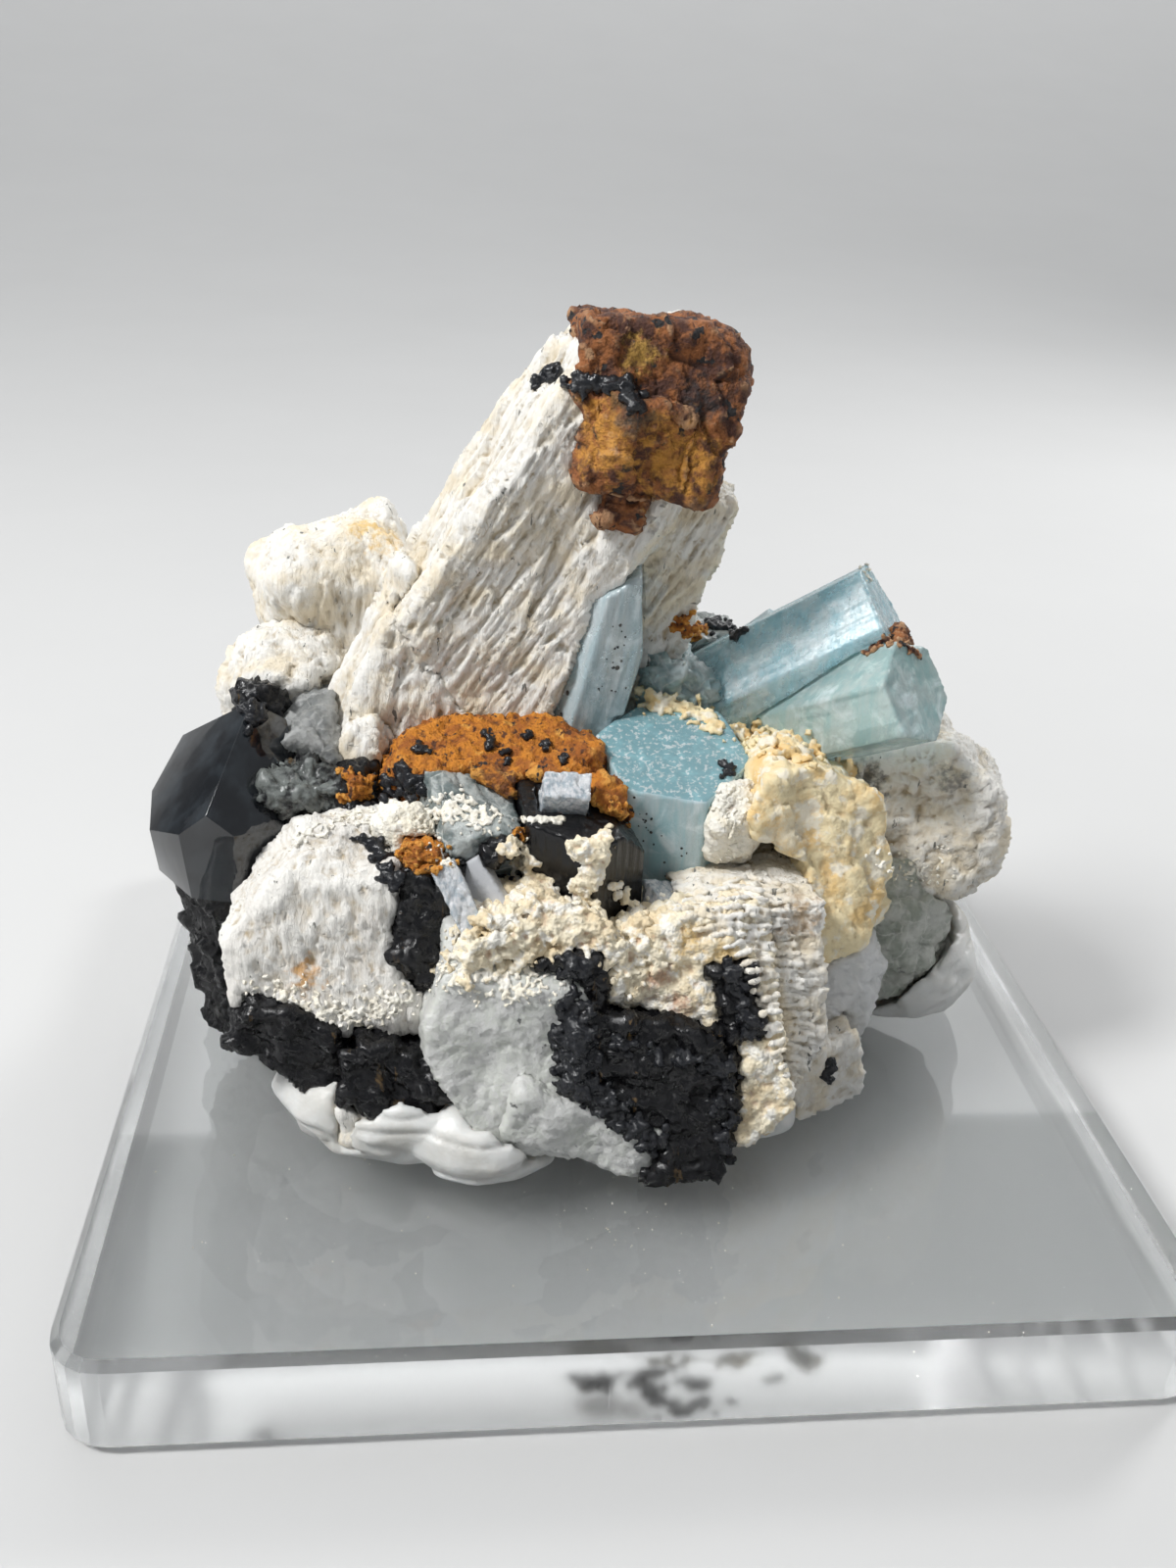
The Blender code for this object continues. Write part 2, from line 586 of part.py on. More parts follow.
    yield Stone("feldspar_back_left_upper", feldspar, placed(
        block((9.0, 9.0, 14.2), [((-1, 0, 1), 0.82), ((1, -0.3, 1), 0.84), ((0, -1, 1), 0.82),
                                 ((-1, -1, 0), 0.82), ((0, 1, 1), 0.8)]),
        (-18.0, 9.6, 31.0), (0, -12, 10)), 5.0, 0.5, 3.2, 32)
    yield Stone("feldspar_back_right", feldspar, placed(
        block((12.0, 9.0, 14.0), [((1, 1, 1), 0.75), ((1, -1, 1), 0.8), ((-1, 1, 1), 0.8)]),
        (12.0, 11.0, 18.6), (8, 12, 24)), 6.0, 0.6, 3.8, 33)
    yield Stone("schorl_back", black, [
        column((-6.0, 12.0, 12.0), (-8.2, 16.4, 27.0), 6.4, sides=9)], 6.0, 0.15, 3.0, 34)
    yield Stone("matrix_core", matrix, placed(
        lump((22.5, 15.5, 10.0), 2), (0.5, 2.6, 16.6)), 8.0, 0.8, 6.0, 35,
        ON_SLAB + (((0, 0, 26.5), (0.0, -0.1, 1.0)),))


def putty():
    """Soft putty pressed between the specimen and the slab, shaped last."""
    front = [place(lump((7.4, 5.6, 4.2), 2), (-14.6, -13.2, 9.2), (0, 0, -14)),
             place(lump((4.8, 3.6, 3.0), 2), (-8.8, -16.6, 8.2), (0, 0, 10))]
    yield Stone("putty_front_left", tack, front, 4.0, 0.2, 4.0, 36, ON_SLAB)
    yield Stone("putty_front_right", tack, placed(
        lump((2.2, 2.3, 1.7), 1), (8.8, -14.6, 7.9)), 3.6, 0.1, 2.0, 37, ON_SLAB)
    yield Stone("putty_back_right", tack, placed(
        lump((5.6, 6.6, 5.0), 2), (21.0, 0.2, 10.6), (0, 0, 20)), 5.0, 0.3, 4.0, 38, ON_SLAB)


def settle():
    """Shape every stone and cut each one by those that keep their place before it."""
    make_object("acrylic_base", slab(), clear)
    taken = []
    for stone in [*crystals(), *stones(), *putty()]:
        body, rooms = body_and_rooms(stone)
        for other, room in taken:
            if near(body, room):
                body = largest_piece(combine(body, room, 'DIFFERENCE'))
            if not body.verts:
                raise ValueError(f"{stone.name} lies wholly inside {other}")
        taken.extend((stone.name, room) for room in rooms)
        make_object(stone.name, tidy(body, stone.name), stone.finish)


for old in list(bpy.data.objects):
    bpy.data.objects.remove(old)
parts = bpy.data.collections.new(COLLECTION)
bpy.context.scene.collection.children.link(parts)
cutters = bpy.data.collections.new("cutters")
bpy.context.scene.collection.children.link(cutters)

clear = material("clear", (0.92, 0.95, 0.96), 0.05, transmission=1.0)
milky = material("milky_quartz", (0.74, 0.76, 0.74), 0.35, transmission=0.3)
beryl = material("aquamarine", (0.42, 0.68, 0.76), 0.1, transmission=0.7)
black = material("schorl", (0.012, 0.012, 0.014), 0.2)
feldspar = material("feldspar", (0.86, 0.84, 0.79), 0.8)
cream = material("cream_feldspar", (0.82, 0.74, 0.58), 0.85)
ochre = material("stained_feldspar", (0.8, 0.66, 0.4), 0.8)
limonite = material("limonite", (0.5, 0.23, 0.06), 0.85)
grey = material("grey_green_crystal", (0.32, 0.36, 0.34), 0.2)
matrix = material("matrix", (0.66, 0.65, 0.62), 0.85)
tack = material("putty", (0.86, 0.86, 0.84), 0.6)

settle()
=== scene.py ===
# %% [markdown]
# An aquamarine specimen on its display slab. The real thing is a hand-sized cluster: blue beryl,
# black tourmaline, white feldspar and quartz that grew together, pressed into soft putty on a plate
# of clear acrylic. The solids of the CAD model give every stone its place and its plain form. This
# script gives each one its skin: it copies the solid, covers it with an even net of small faces, and
# moves that net in and out the way the mineral breaks, ribs or crumbles.

# %% Load the fixed frame
import math
import random

import bmesh
import bpy
import numpy as np
from mathutils import Euler, Matrix, Vector, noise
from mathutils.bvhtree import BVHTree
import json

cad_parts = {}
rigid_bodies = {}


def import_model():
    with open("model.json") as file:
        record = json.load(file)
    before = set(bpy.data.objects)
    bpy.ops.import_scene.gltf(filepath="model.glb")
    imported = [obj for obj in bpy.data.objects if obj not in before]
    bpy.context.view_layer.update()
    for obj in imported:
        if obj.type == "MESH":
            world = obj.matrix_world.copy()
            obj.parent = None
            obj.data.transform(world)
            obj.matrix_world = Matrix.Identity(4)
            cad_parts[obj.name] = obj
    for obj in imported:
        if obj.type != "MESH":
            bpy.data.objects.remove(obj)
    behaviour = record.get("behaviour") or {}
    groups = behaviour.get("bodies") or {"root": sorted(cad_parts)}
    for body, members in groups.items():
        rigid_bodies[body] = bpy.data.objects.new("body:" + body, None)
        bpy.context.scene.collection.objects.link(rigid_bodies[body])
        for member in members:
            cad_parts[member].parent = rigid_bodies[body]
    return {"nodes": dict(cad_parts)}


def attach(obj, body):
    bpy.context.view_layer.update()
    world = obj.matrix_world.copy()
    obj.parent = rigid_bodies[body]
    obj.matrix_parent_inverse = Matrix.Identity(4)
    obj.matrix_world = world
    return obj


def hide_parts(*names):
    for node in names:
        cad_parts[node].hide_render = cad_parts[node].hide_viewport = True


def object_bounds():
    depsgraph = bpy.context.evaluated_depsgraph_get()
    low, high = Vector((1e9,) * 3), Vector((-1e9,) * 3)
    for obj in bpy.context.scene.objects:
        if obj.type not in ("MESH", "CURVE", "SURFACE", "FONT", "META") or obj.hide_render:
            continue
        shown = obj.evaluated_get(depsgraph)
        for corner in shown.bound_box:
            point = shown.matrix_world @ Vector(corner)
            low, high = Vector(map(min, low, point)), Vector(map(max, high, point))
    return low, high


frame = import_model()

MM = 0.001
cad_low, cad_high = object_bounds()
cad_size = [round(side / MM, 1) for side in cad_high - cad_low]
print("solids:", len(frame["nodes"]), "size in mm:", cad_size)

# %% [markdown]
# The camera stands where the photograph was taken from: in front, a little to the left and above,
# looking down at the slab. It could be aimed by eye, but here its place and its three turns were
# worked out from the slab's corners, so that a pixel of the photograph can be followed back to the
# stone that it shows. That is how small marks and crumbs find their places further down.

# %% Camera
FRAME_WIDTH, FRAME_HEIGHT = 1200, 1600
SENSOR = 36.0
LENS = 32.73
CAMERA_PLACE = Vector((-11.53, -85.55, 65.99)) * MM
YAW, PITCH, ROLL = (math.radians(angle) for angle in (6.5, 26.24, -2.88))

ahead = Vector((math.sin(YAW) * math.cos(PITCH), math.cos(YAW) * math.cos(PITCH), -math.sin(PITCH)))
level_right = Vector((math.cos(YAW), -math.sin(YAW), 0.0))
level_down = ahead.cross(level_right)
frame_right = level_right * math.cos(ROLL) + level_down * math.sin(ROLL)
frame_down = level_down * math.cos(ROLL) - level_right * math.sin(ROLL)

scene = bpy.context.scene
camera = bpy.data.objects.new("photo_camera", bpy.data.cameras.new("photo_camera"))
camera.data.sensor_width = SENSOR
camera.data.lens = LENS
camera.data.clip_start = MM
camera.matrix_world = Matrix.Translation(CAMERA_PLACE) @ Matrix(
    (frame_right, -frame_down, -ahead)).transposed().to_4x4()
scene.collection.objects.link(camera)
scene.camera = camera

PIXELS_PER_LENGTH = LENS / SENSOR * FRAME_HEIGHT


def sight(across, down):
    """The direction from the camera through one pixel of the photograph."""
    sideways = frame_right * ((across - FRAME_WIDTH / 2) / PIXELS_PER_LENGTH)
    downwards = frame_down * ((down - FRAME_HEIGHT / 2) / PIXELS_PER_LENGTH)
    return (ahead + sideways + downwards).normalized()


print("camera distance in mm:", round((CAMERA_PLACE - (cad_low + cad_high) / 2).length / MM))

# %% [markdown]
# The floor is a plain pale sheet that curves up behind the slab, and the light comes from four soft
# panels: a wide one overhead for the floor, a strong one above on the left that rakes across the
# ribs of the feldspar, a wide one behind that shines through the crystals, and a small one behind
# on the right for the rims. One big lamp would be simpler, but clear crystals look dead without
# light from behind. Light in the slab is mirrored many times between top and bottom, so it is
# allowed more bounces than usual; with too few, the edge of a clear slab turns black.

# %% Floor and lights
FLOOR_REACH = 5.0
FLOOR_BEND = 0.25
FLOOR_CURVE = 1.5
FLOOR_STEPS = 24
FLOOR_HEIGHT = -0.2 * MM
WALL_HEIGHT = 2.3


def new_piece(name, mesh):
    piece = bpy.data.objects.new(name, mesh)
    scene.collection.objects.link(piece)
    return piece


def piece_from(bm, name):
    """A new object with the mesh that was built up in bm."""
    mesh = bpy.data.meshes.new(name)
    bm.to_mesh(mesh)
    bm.free()
    return new_piece(name, mesh)


def build_floor():
    bm = bmesh.new()
    profile = [(-FLOOR_REACH, FLOOR_HEIGHT), (FLOOR_BEND, FLOOR_HEIGHT)]
    for step in range(1, FLOOR_STEPS + 1):
        turn = math.radians(90.0 * step / FLOOR_STEPS)
        rise = FLOOR_HEIGHT + FLOOR_CURVE * (1.0 - math.cos(turn))
        profile.append((FLOOR_BEND + FLOOR_CURVE * math.sin(turn), rise))
    profile.append((FLOOR_BEND + FLOOR_CURVE, WALL_HEIGHT))
    rows = [[bm.verts.new((side * FLOOR_REACH, y, z)) for side in (-1, 1)] for y, z in profile]
    for lower, upper in zip(rows, rows[1:]):
        bm.faces.new((lower[0], lower[1], upper[1], upper[0]))
    floor = piece_from(bm, "studio_floor")
    floor.data.shade_smooth()
    return floor


def soft_panel(name, place, target, side, power):
    lamp = bpy.data.lights.new(name, 'AREA')
    lamp.shape = 'RECTANGLE'
    lamp.size, lamp.size_y = side
    lamp.energy = power
    panel = new_piece(name, lamp)
    panel.location = place
    panel.rotation_euler = (Vector(target) - Vector(place)).to_track_quat('-Z', 'Y').to_euler()


floor = build_floor()
MIDDLE = (0.0, 0.0, 0.025)
soft_panel("overhead_panel", (0.0, 0.4, 2.4), (0.0, 0.4, 0.0), (3.6, 3.6), 23.0)
soft_panel("key_panel", (-0.24, -0.1, 0.32), MIDDLE, (0.09, 0.09), 1.45)
soft_panel("back_panel", (0.0, 1.0, 0.5), MIDDLE, (1.66, 0.56), 4.7)
soft_panel("rim_panel", (0.26, 0.16, 0.2), MIDDLE, (0.08, 0.08), 0.5)

SKY_COLOUR = (0.86, 0.9, 0.95, 1.0)
SKY_STRENGTH = 0.3
MOST_BOUNCES = 20
CLEAR_BOUNCES = 16

scene.world = bpy.data.worlds.new("studio")
scene.world.use_nodes = True
sky = scene.world.node_tree.nodes["Background"]
sky.inputs["Color"].default_value = SKY_COLOUR
sky.inputs["Strength"].default_value = SKY_STRENGTH
scene.cycles.max_bounces = MOST_BOUNCES
scene.cycles.glossy_bounces = CLEAR_BOUNCES
scene.cycles.transmission_bounces = CLEAR_BOUNCES
scene.view_settings.view_transform = 'Standard'
scene.view_settings.look = 'None'
print("panels:", [lamp.name for lamp in bpy.data.lights])

# %% [markdown]
# Every finish is built from the same few steps: noise of a certain grain in millimetres, round or
# long cells, a soft threshold, a blend of two colours and a bump. They could be wired by hand for
# each stone, but a small builder keeps the recipes short enough to read. It measures places on the
# stone in millimetres, so a grain of 0.5 is half a millimetre on the real thing.

# %% The finish builder
RAGGED = 4.8
STAIN_STRENGTH = 0.85
class Finish:
    """One procedural material. Each method adds a node and returns its output."""

    def __init__(self, name, roughness=0.6, transmission=0.0, ior=1.5):
        self.material = bpy.data.materials.new(name)
        self.material.use_nodes = True
        self.tree = self.material.node_tree
        self.shader = self.tree.nodes["Principled BSDF"]
        self.shader.inputs["Roughness"].default_value = roughness
        self.shader.inputs["Transmission Weight"].default_value = transmission
        self.shader.inputs["IOR"].default_value = ior
        place = self.add("ShaderNodeTexCoord").outputs["Object"]
        self.place = self.add("ShaderNodeVectorMath", {0: place, "Scale": 1.0 / MM},
                              operation='SCALE').outputs[0]
        self.geometry = self.add("ShaderNodeNewGeometry")
        self.relief = None

    def add(self, kind, inputs=None, **settings):
        node = self.tree.nodes.new(kind)
        for key, value in settings.items():
            setattr(node, key, value)
        for key, value in (inputs or {}).items():
            self.feed(node.inputs[key], value)
        return node

    def feed(self, socket, value):
        if isinstance(value, bpy.types.NodeSocket):
            self.tree.links.new(value, socket)
        else:
            socket.default_value = value

    def along(self, axis, stretch):
        """Places measured along an axis, which makes every pattern on them long that way."""
        turn = Vector(axis).to_track_quat('Z', 'Y').to_matrix().inverted().to_euler()
        return self.add("ShaderNodeMapping", {"Vector": self.place, "Rotation": turn,
                                              "Scale": (1.0, 1.0, 1.0 / stretch)}).outputs[0]

    def noise(self, grain, place=None, detail=4.0, seed=0.0, distortion=0.0):
        spot = self.add("ShaderNodeVectorMath", {0: place or self.place, 1: (seed, seed * 0.7, -seed)})
        return self.add("ShaderNodeTexNoise", {
            "Vector": spot.outputs[0], "Scale": 1.0 / grain, "Detail": detail, "Roughness": 0.6,
            "Distortion": distortion}).outputs["Fac"]

    def cells(self, grain, place=None, feature='F1', output="Distance"):
        return self.add("ShaderNodeTexVoronoi", {"Vector": place or self.place, "Scale": 1.0 / grain},
                        feature=feature).outputs[output]

    def between(self, value, low, high):
        """0 below the low value, 1 above the high one, and soft between. Low may be the larger."""
        node = self.add("ShaderNodeMapRange", {"Value": value, "From Min": low, "From Max": high},
                        interpolation_type='SMOOTHSTEP')
        return node.outputs["Result"]

    def math(self, operation, first, second=0.5):
        return self.add("ShaderNodeMath", {0: first, 1: second}, operation=operation).outputs[0]

    def blend(self, share, first, second):
        """A colour: the first where the share is 0 and the second where it is 1."""
        node = self.add("ShaderNodeMix", data_type='RGBA')
        self.feed(node.inputs[0], share)
        for socket, colour in ((node.inputs[6], first), (node.inputs[7], second)):
            self.feed(socket, colour if isinstance(colour, bpy.types.NodeSocket) else (*colour, 1.0))
        return node.outputs[2]

    def ridges(self, low, high):
        """1 on the ridges of the mesh and 0 in its hollows."""
        return self.between(self.geometry.outputs["Pointiness"], low, high)

    def bump(self, height, depth):
        """Fine relief, as deep as the given millimetres."""
        node = self.add("ShaderNodeBump", {"Height": height, "Distance": depth * MM, "Strength": 1.0})
        if self.relief is not None:
            self.feed(node.inputs["Normal"], self.relief)
        self.relief = node.outputs[0]
        self.feed(self.shader.inputs["Normal"], self.relief)

    def colour(self, value):
        self.feed(self.shader.inputs["Base Color"],
                  value if isinstance(value, bpy.types.NodeSocket) else (*value, 1.0))

    def vary(self, socket, value, low, high, start=0.0, end=1.0):
        """Let one of the shader's numbers go from low to high as the value goes from start to end."""
        node = self.add("ShaderNodeMapRange", {"Value": value, "From Min": start, "From Max": end,
                                               "To Min": low, "To Max": high})
        self.feed(self.shader.inputs[socket], node.outputs["Result"])

    def stain(self, point, radius, colour):
        """Lay a ragged, uneven patch of another colour over the finish, around a point in mm."""
        distance = self.add("ShaderNodeVectorMath", {0: self.place, 1: tuple(point)},
                            operation='DISTANCE').outputs["Value"]
        wander = self.math('SUBTRACT', self.noise(0.8, detail=6.0), 0.5)
        edge = self.math('ADD', distance, self.math('MULTIPLY', wander, RAGGED * radius))
        uneven = self.between(self.noise(0.5, detail=6.0, seed=31.0), 0.25, 0.6)
        patch = self.math('MULTIPLY', self.between(edge, radius * 1.5, radius * 0.4), uneven)
        share = self.math('MULTIPLY', patch, STAIN_STRENGTH)
        socket = self.shader.inputs["Base Color"]
        self.feed(socket, self.blend(share, socket.links[0].from_socket, colour))

    def absorb(self, colour, density):
        """Colour that deepens with the way the light goes through the stone, density per metre."""
        node = self.add("ShaderNodeVolumeAbsorption", {"Color": (*colour, 1.0), "Density": density})
        self.tree.links.new(node.outputs[0], self.tree.nodes["Material Output"].inputs["Volume"])


paper = Finish("pale_paper", roughness=0.9)
paper.colour(paper.blend(paper.noise(40.0), (0.54, 0.54, 0.535), (0.57, 0.57, 0.565)))
floor.data.materials.append(paper.material)

# %% [markdown]
# Each stone's skin starts as a copy of its solid. A Remesh modifier in voxel mode covers the copy
# with small, even faces, and a few rounds of smoothing take off the solid's hard facets. Sculpting
# by hand would also work, but a net of even faces can be moved by a formula, which gives the same
# stone on every run. Rough stones are also grown by a hair, so that they meet where the solids keep
# a gap, worn ones are rounded more, and two are pressed down a little where the photograph shows
# what stands behind them. Last, a Decimate modifier leaves out the triangles that matter least.

# %% Skins
QUICK_COARSE = 1.0
WELD_REACH = 0.001
WORN_GROWTH = 0.5
WORN_ROUND = {"feldspar_back_left_upper": 36, "feldspar_back_left_lower": 36,
              "feldspar_back_right": 36, "feldspar_right": 36, "limonite_cap_top": 14}
PRESSED_TO = {"feldspar_ribbed_right": 21.5, "albite_crust_upper": 22.2}
PRESSED_SHARE = 0.2


def copy_in_mm(node):
    """The node's mesh in millimetres, with its split corners welded."""
    bm = bmesh.new()
    bm.from_mesh(frame["nodes"][node].data)
    bmesh.ops.transform(bm, matrix=Matrix.Scale(1.0 / MM, 4), verts=bm.verts)
    bmesh.ops.remove_doubles(bm, verts=bm.verts, dist=WELD_REACH)
    return bm


def apply_modifiers(piece):
    graph = bpy.context.evaluated_depsgraph_get()
    mesh = bpy.data.meshes.new_from_object(piece.evaluated_get(graph))
    piece.modifiers.clear()
    old, piece.data = piece.data, mesh
    bpy.data.meshes.remove(old)
    return piece


def net(piece, voxel, grow=0.0, rounding=1):
    """Cover a piece with an even net of small faces, grow it and smooth it."""
    remesh = piece.modifiers.new("net", 'REMESH')
    remesh.mode = 'VOXEL'
    remesh.voxel_size = voxel * QUICK_COARSE
    swell = piece.modifiers.new("swell", 'DISPLACE')
    swell.strength = grow
    swell.mid_level = 0.0
    piece.modifiers.new("smooth", 'SMOOTH').iterations = rounding
    return apply_modifiers(piece)


def places_of(mesh):
    places = np.empty(len(mesh.vertices) * 3)
    mesh.vertices.foreach_get("co", places)
    return places.reshape(-1, 3)


def move_points(mesh, places):
    mesh.vertices.foreach_set("co", places.ravel())
    mesh.update()


def press(mesh, height):
    """Press what rises above a height, in millimetres, down to a share of itself."""
    places = places_of(mesh)
    high = places[:, 2] > height
    places[high, 2] = height + (places[high, 2] - height) * PRESSED_SHARE
    move_points(mesh, places)


def skin(node, voxel=0.15, grow=0.28, rounding=4):
    """An even, slightly grown copy of a node's solid, still in millimetres."""
    bm = copy_in_mm(node)
    bmesh.ops.recalc_face_normals(bm, faces=bm.faces)
    if node in WORN_ROUND:
        grow, rounding = WORN_GROWTH, WORN_ROUND[node]
    piece = net(piece_from(bm, node + "_skin"), voxel, grow, rounding)
    if node in PRESSED_TO:
        press(piece.data, PRESSED_TO[node])
    return piece


def carve(piece, height):
    """Move every point along its normal by what the height function says, in millimetres."""
    places = places_of(piece.data)
    ways = np.empty(places.size)
    piece.data.vertex_normals.foreach_get("vector", ways)
    lifts = np.array([height(Vector(place)) for place in places])
    move_points(piece.data, places + ways.reshape(-1, 3) * lifts[:, None])
    return piece


stones = {}
finishes = {}
MANY_FACES = 1500
KEPT_SHARE = 0.33


def settle(piece, finish, slot, smooth=True):
    """Scale a finished mesh back to metres, give it its finish and let it ride on the specimen."""
    if len(piece.data.polygons) > MANY_FACES:
        piece.modifiers.new("fewer", 'DECIMATE').ratio = KEPT_SHARE
        apply_modifiers(piece)
    piece.data.transform(Matrix.Scale(MM, 4))
    if smooth:
        piece.data.shade_smooth()
    piece.data.validate()
    piece.data.materials.clear()
    piece.data.materials.append(finish.material)
    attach(piece, "root")
    print(piece.name, "faces:", len(piece.data.polygons))
    return piece


def dress(piece, node, finish, slot):
    """Settle a skin and let it stand for its node."""
    stones[node] = settle(piece, finish, slot)
    finishes[node] = finish
    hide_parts(node)
    return piece


# %% [markdown]
# How a mineral breaks decides how its skin moves. Feldspar here is a bundle of laths: long cells
# that end at different heights. Crumbly crusts are heaps of round grains. Tourmaline is grooved
# along its length. Each habit is a function of the place on the stone, made from cell noise
# (Voronoi) and smooth noise, both of which give the same value at the same place every time.

# %% Habits of the minerals
def seeded(seed):
    return Vector((seed * 17.3, seed * 9.1, seed * 5.3))


def swells(place, size, seed):
    """Broad soft hills, from -1 to 1."""
    return noise.noise(place / size + seeded(seed))


def grains(place, size, seed):
    """Round grains, 1 in the middle of each and 0 or less where they meet."""
    distances, _ = noise.voronoi(place / size + seeded(seed))
    return 1.0 - 2.4 * distances[0] * distances[0]


def facets(spot, lean, groove):
    """Flat chips that each lean their own way, with a groove between them, from about -1 to 1."""
    distances, centres = noise.voronoi(spot)
    middle = centres[0]
    tilt = noise.cell_vector(middle * 13.7)
    gap = min((distances[1] - distances[0]) * 6.0, 1.0) - 1.0
    return 0.5 * noise.cell(middle * 7.3) + lean * tilt.dot(spot - middle) + groove * gap


def axes_of(axis):
    along = Vector(axis).normalized()
    across = along.orthogonal().normalized()
    return across, along.cross(across), along


def laths(axis, width, length, depth, seed, hills=0.35, hill_size=3.0):
    """A bundle of laths along an axis that end at different heights, like shingles on a roof."""
    across, away, along = axes_of(axis)
    start = seeded(seed)

    def height(place):
        bend = swells(place, 6.0, seed) * 0.2
        spot = Vector((place.dot(across) / width + bend, place.dot(away) / width - bend,
                       place.dot(along) / length)) + start
        wide = min(4.0 * abs(noise.noise(spot * 0.9)), 1.0)
        narrow = min(4.0 * abs(noise.noise(spot * 1.9)), 1.0)
        fibre = noise.noise(Vector((spot.x * 4.5, spot.y * 4.5, spot.z * 1.5)))
        shingles = Vector((spot.x * 0.55, spot.y * 0.55, spot.z))
        middle = noise.voronoi(shingles)[1][0]
        step = 0.6 * noise.cell(middle * 13.7) + 0.8 * (shingles.z - middle.z)
        relief = 0.55 * wide + 0.55 * narrow + 0.45 * fibre + step - 0.6
        return depth * relief + hills * swells(place, hill_size, seed + 2)

    return height


def grooves(axis, width, depth, seed):
    """Fine grooves that run the whole length of a crystal."""
    across, away, along = axes_of(axis)
    start = seeded(seed)

    def height(place):
        spot = Vector((place.dot(across) / width, place.dot(away) / width, place.dot(along) / 14.0))
        return depth * (noise.noise(spot + start) + 0.6 * noise.noise(spot * 2.7 + start))

    return height


def crumbly(size, depth, seed, hills=0.45, hill_size=2.4):
    """Grains of two sizes on soft hills."""
    def height(place):
        fine = grains(place, size * 0.5, seed + 1)
        return (depth * (grains(place, size, seed) - 0.4) + depth * 0.5 * (fine - 0.4)
                + hills * swells(place, hill_size, seed + 2))

    return height


def broken(size, depth, seed, hills=0.45, hill_size=2.6, lean=1.2, groove=0.5):
    """Chips of two sizes that lean their own way, on soft hills."""
    def height(place):
        spot = place / size + seeded(seed)
        return (depth * facets(spot, lean, groove) + depth * 0.45 * facets(spot * 2.6, lean, groove)
                + 0.05 * noise.noise(place / 0.3) + hills * swells(place, hill_size, seed + 2))

    return height


# %% [markdown]
# White feldspar is what most of the specimen is made of. It is matt and bone white, with a few grey
# dashes along the laths, and painted shade in the hollows, where the cream turns darker. The shade
# could be painted by place, but the mesh already knows where its hollows are: the Pointiness value
# of the Geometry node is low in them, so the painted shade settles there by itself.

# %% White feldspar
CREAM_TINT = (0.81, 0.72, 0.56)
PALE_TINT = (0.79, 0.76, 0.71)
# Painted shade for the hollows: a darker cream than the stone.
HOLLOW_SHADE = (0.47, 0.38, 0.25)
GREY_DASH = (0.2, 0.2, 0.18)


def feldspar_finish(name, axis, light=(0.85, 0.83, 0.78), tint=CREAM_TINT):
    finish = Finish(name, roughness=0.8)
    long_way = finish.along(axis, 5.0)
    tinted = finish.blend(finish.between(finish.noise(2.6, seed=3.0), 0.42, 0.68), light, tint)
    # Painted shade: the hollows of the mesh turn darker cream.
    hollow_shaded = finish.blend(finish.ridges(0.42, 0.52), HOLLOW_SHADE, tinted)
    dashes = finish.between(finish.noise(0.5, place=long_way, detail=3.0), 0.66, 0.71)
    finish.colour(finish.blend(dashes, hollow_shaded, GREY_DASH))
    finish.bump(finish.noise(0.24, place=long_way, detail=6.0), 0.16)
    finish.bump(finish.noise(0.1, detail=3.0), 0.03)
    return finish


UPRIGHT = (-0.1, 0.0, 1.0)

for seed, (node, axis, width, length, depth, hills, hill_size) in enumerate([
        ("feldspar_tall", (0.505, -0.08, 0.86), 0.54, 5.6, 0.28, 0.4, 3.0),
        ("feldspar_foot", (0.36, 0.04, 0.93), 0.54, 4.4, 0.26, 0.5, 2.6),
        ("feldspar_back_left_upper", (0.1, 0.1, 1.0), 0.55, 4.0, 0.2, 0.9, 3.6),
        ("feldspar_back_left_lower", (0.5, 0.0, 1.0), 0.55, 1.4, 0.24, 0.5, 2.4),
        ("feldspar_front_left", UPRIGHT, 0.32, 1.5, 0.16, 0.5, 2.4),
        ("feldspar_ribbed_right", (1.0, -0.3, 0.15), 0.5, 4.0, 0.26, 0.3, 3.0),
        ("feldspar_chip_right", (1.0, 0.0, 0.3), 0.6, 1.6, 0.18, 0.5, 2.2),
        ("feldspar_right", (0.8, -0.2, 0.5), 0.7, 2.0, 0.26, 0.8, 3.4),
        ("feldspar_chip_low", (1.0, 0.0, 0.0), 0.5, 1.2, 0.12, 0.4, 2.0),
        ("feldspar_back_right", (0.3, 0.2, 1.0), 0.7, 4.0, 0.26, 1.0, 4.0)]):
    stone = skin(node, 0.12 if node == "feldspar_tall" else 0.15)
    habit = laths(axis, width, length, depth, 10 + 3 * seed, hills, hill_size)
    tint = PALE_TINT if node == "feldspar_front_left" else CREAM_TINT
    dress(carve(stone, habit), node, feldspar_finish(node + "_white", axis, tint=tint), "feldspar")

# %% [markdown]
# The cream crusts are the crumbly cousin of the white laths: heaps of grains under a millimetre,
# yellowed by iron, with pinkish brown darkened as painted shade in the hollows between the grains.
# Scattered particles would drop out of an export, so the grains are lifted out of the skin itself.

# %% Cream and yellow feldspar
def crust_finish(name, light=(0.86, 0.78, 0.6), dark=(0.74, 0.61, 0.4), hollow_brown_and_shade=(0.42, 0.28, 0.18),
                 pale=(0.88, 0.85, 0.77), grain=0.08):
    finish = Finish(name, roughness=0.85)
    body = finish.blend(finish.between(finish.noise(2.2, seed=5.0), 0.4, 0.65), light, dark)
    patchy = finish.blend(finish.between(finish.noise(1.2, seed=9.0), 0.5, 0.62), body, pale)
    # Pinkish brown with painted shade: the hollows between the grains turn darker.
    finish.colour(finish.blend(finish.ridges(0.4, 0.5), hollow_brown_and_shade, patchy))
    finish.bump(finish.cells(0.25), grain)
    finish.bump(finish.noise(0.12, detail=3.0), 0.04)
    return finish


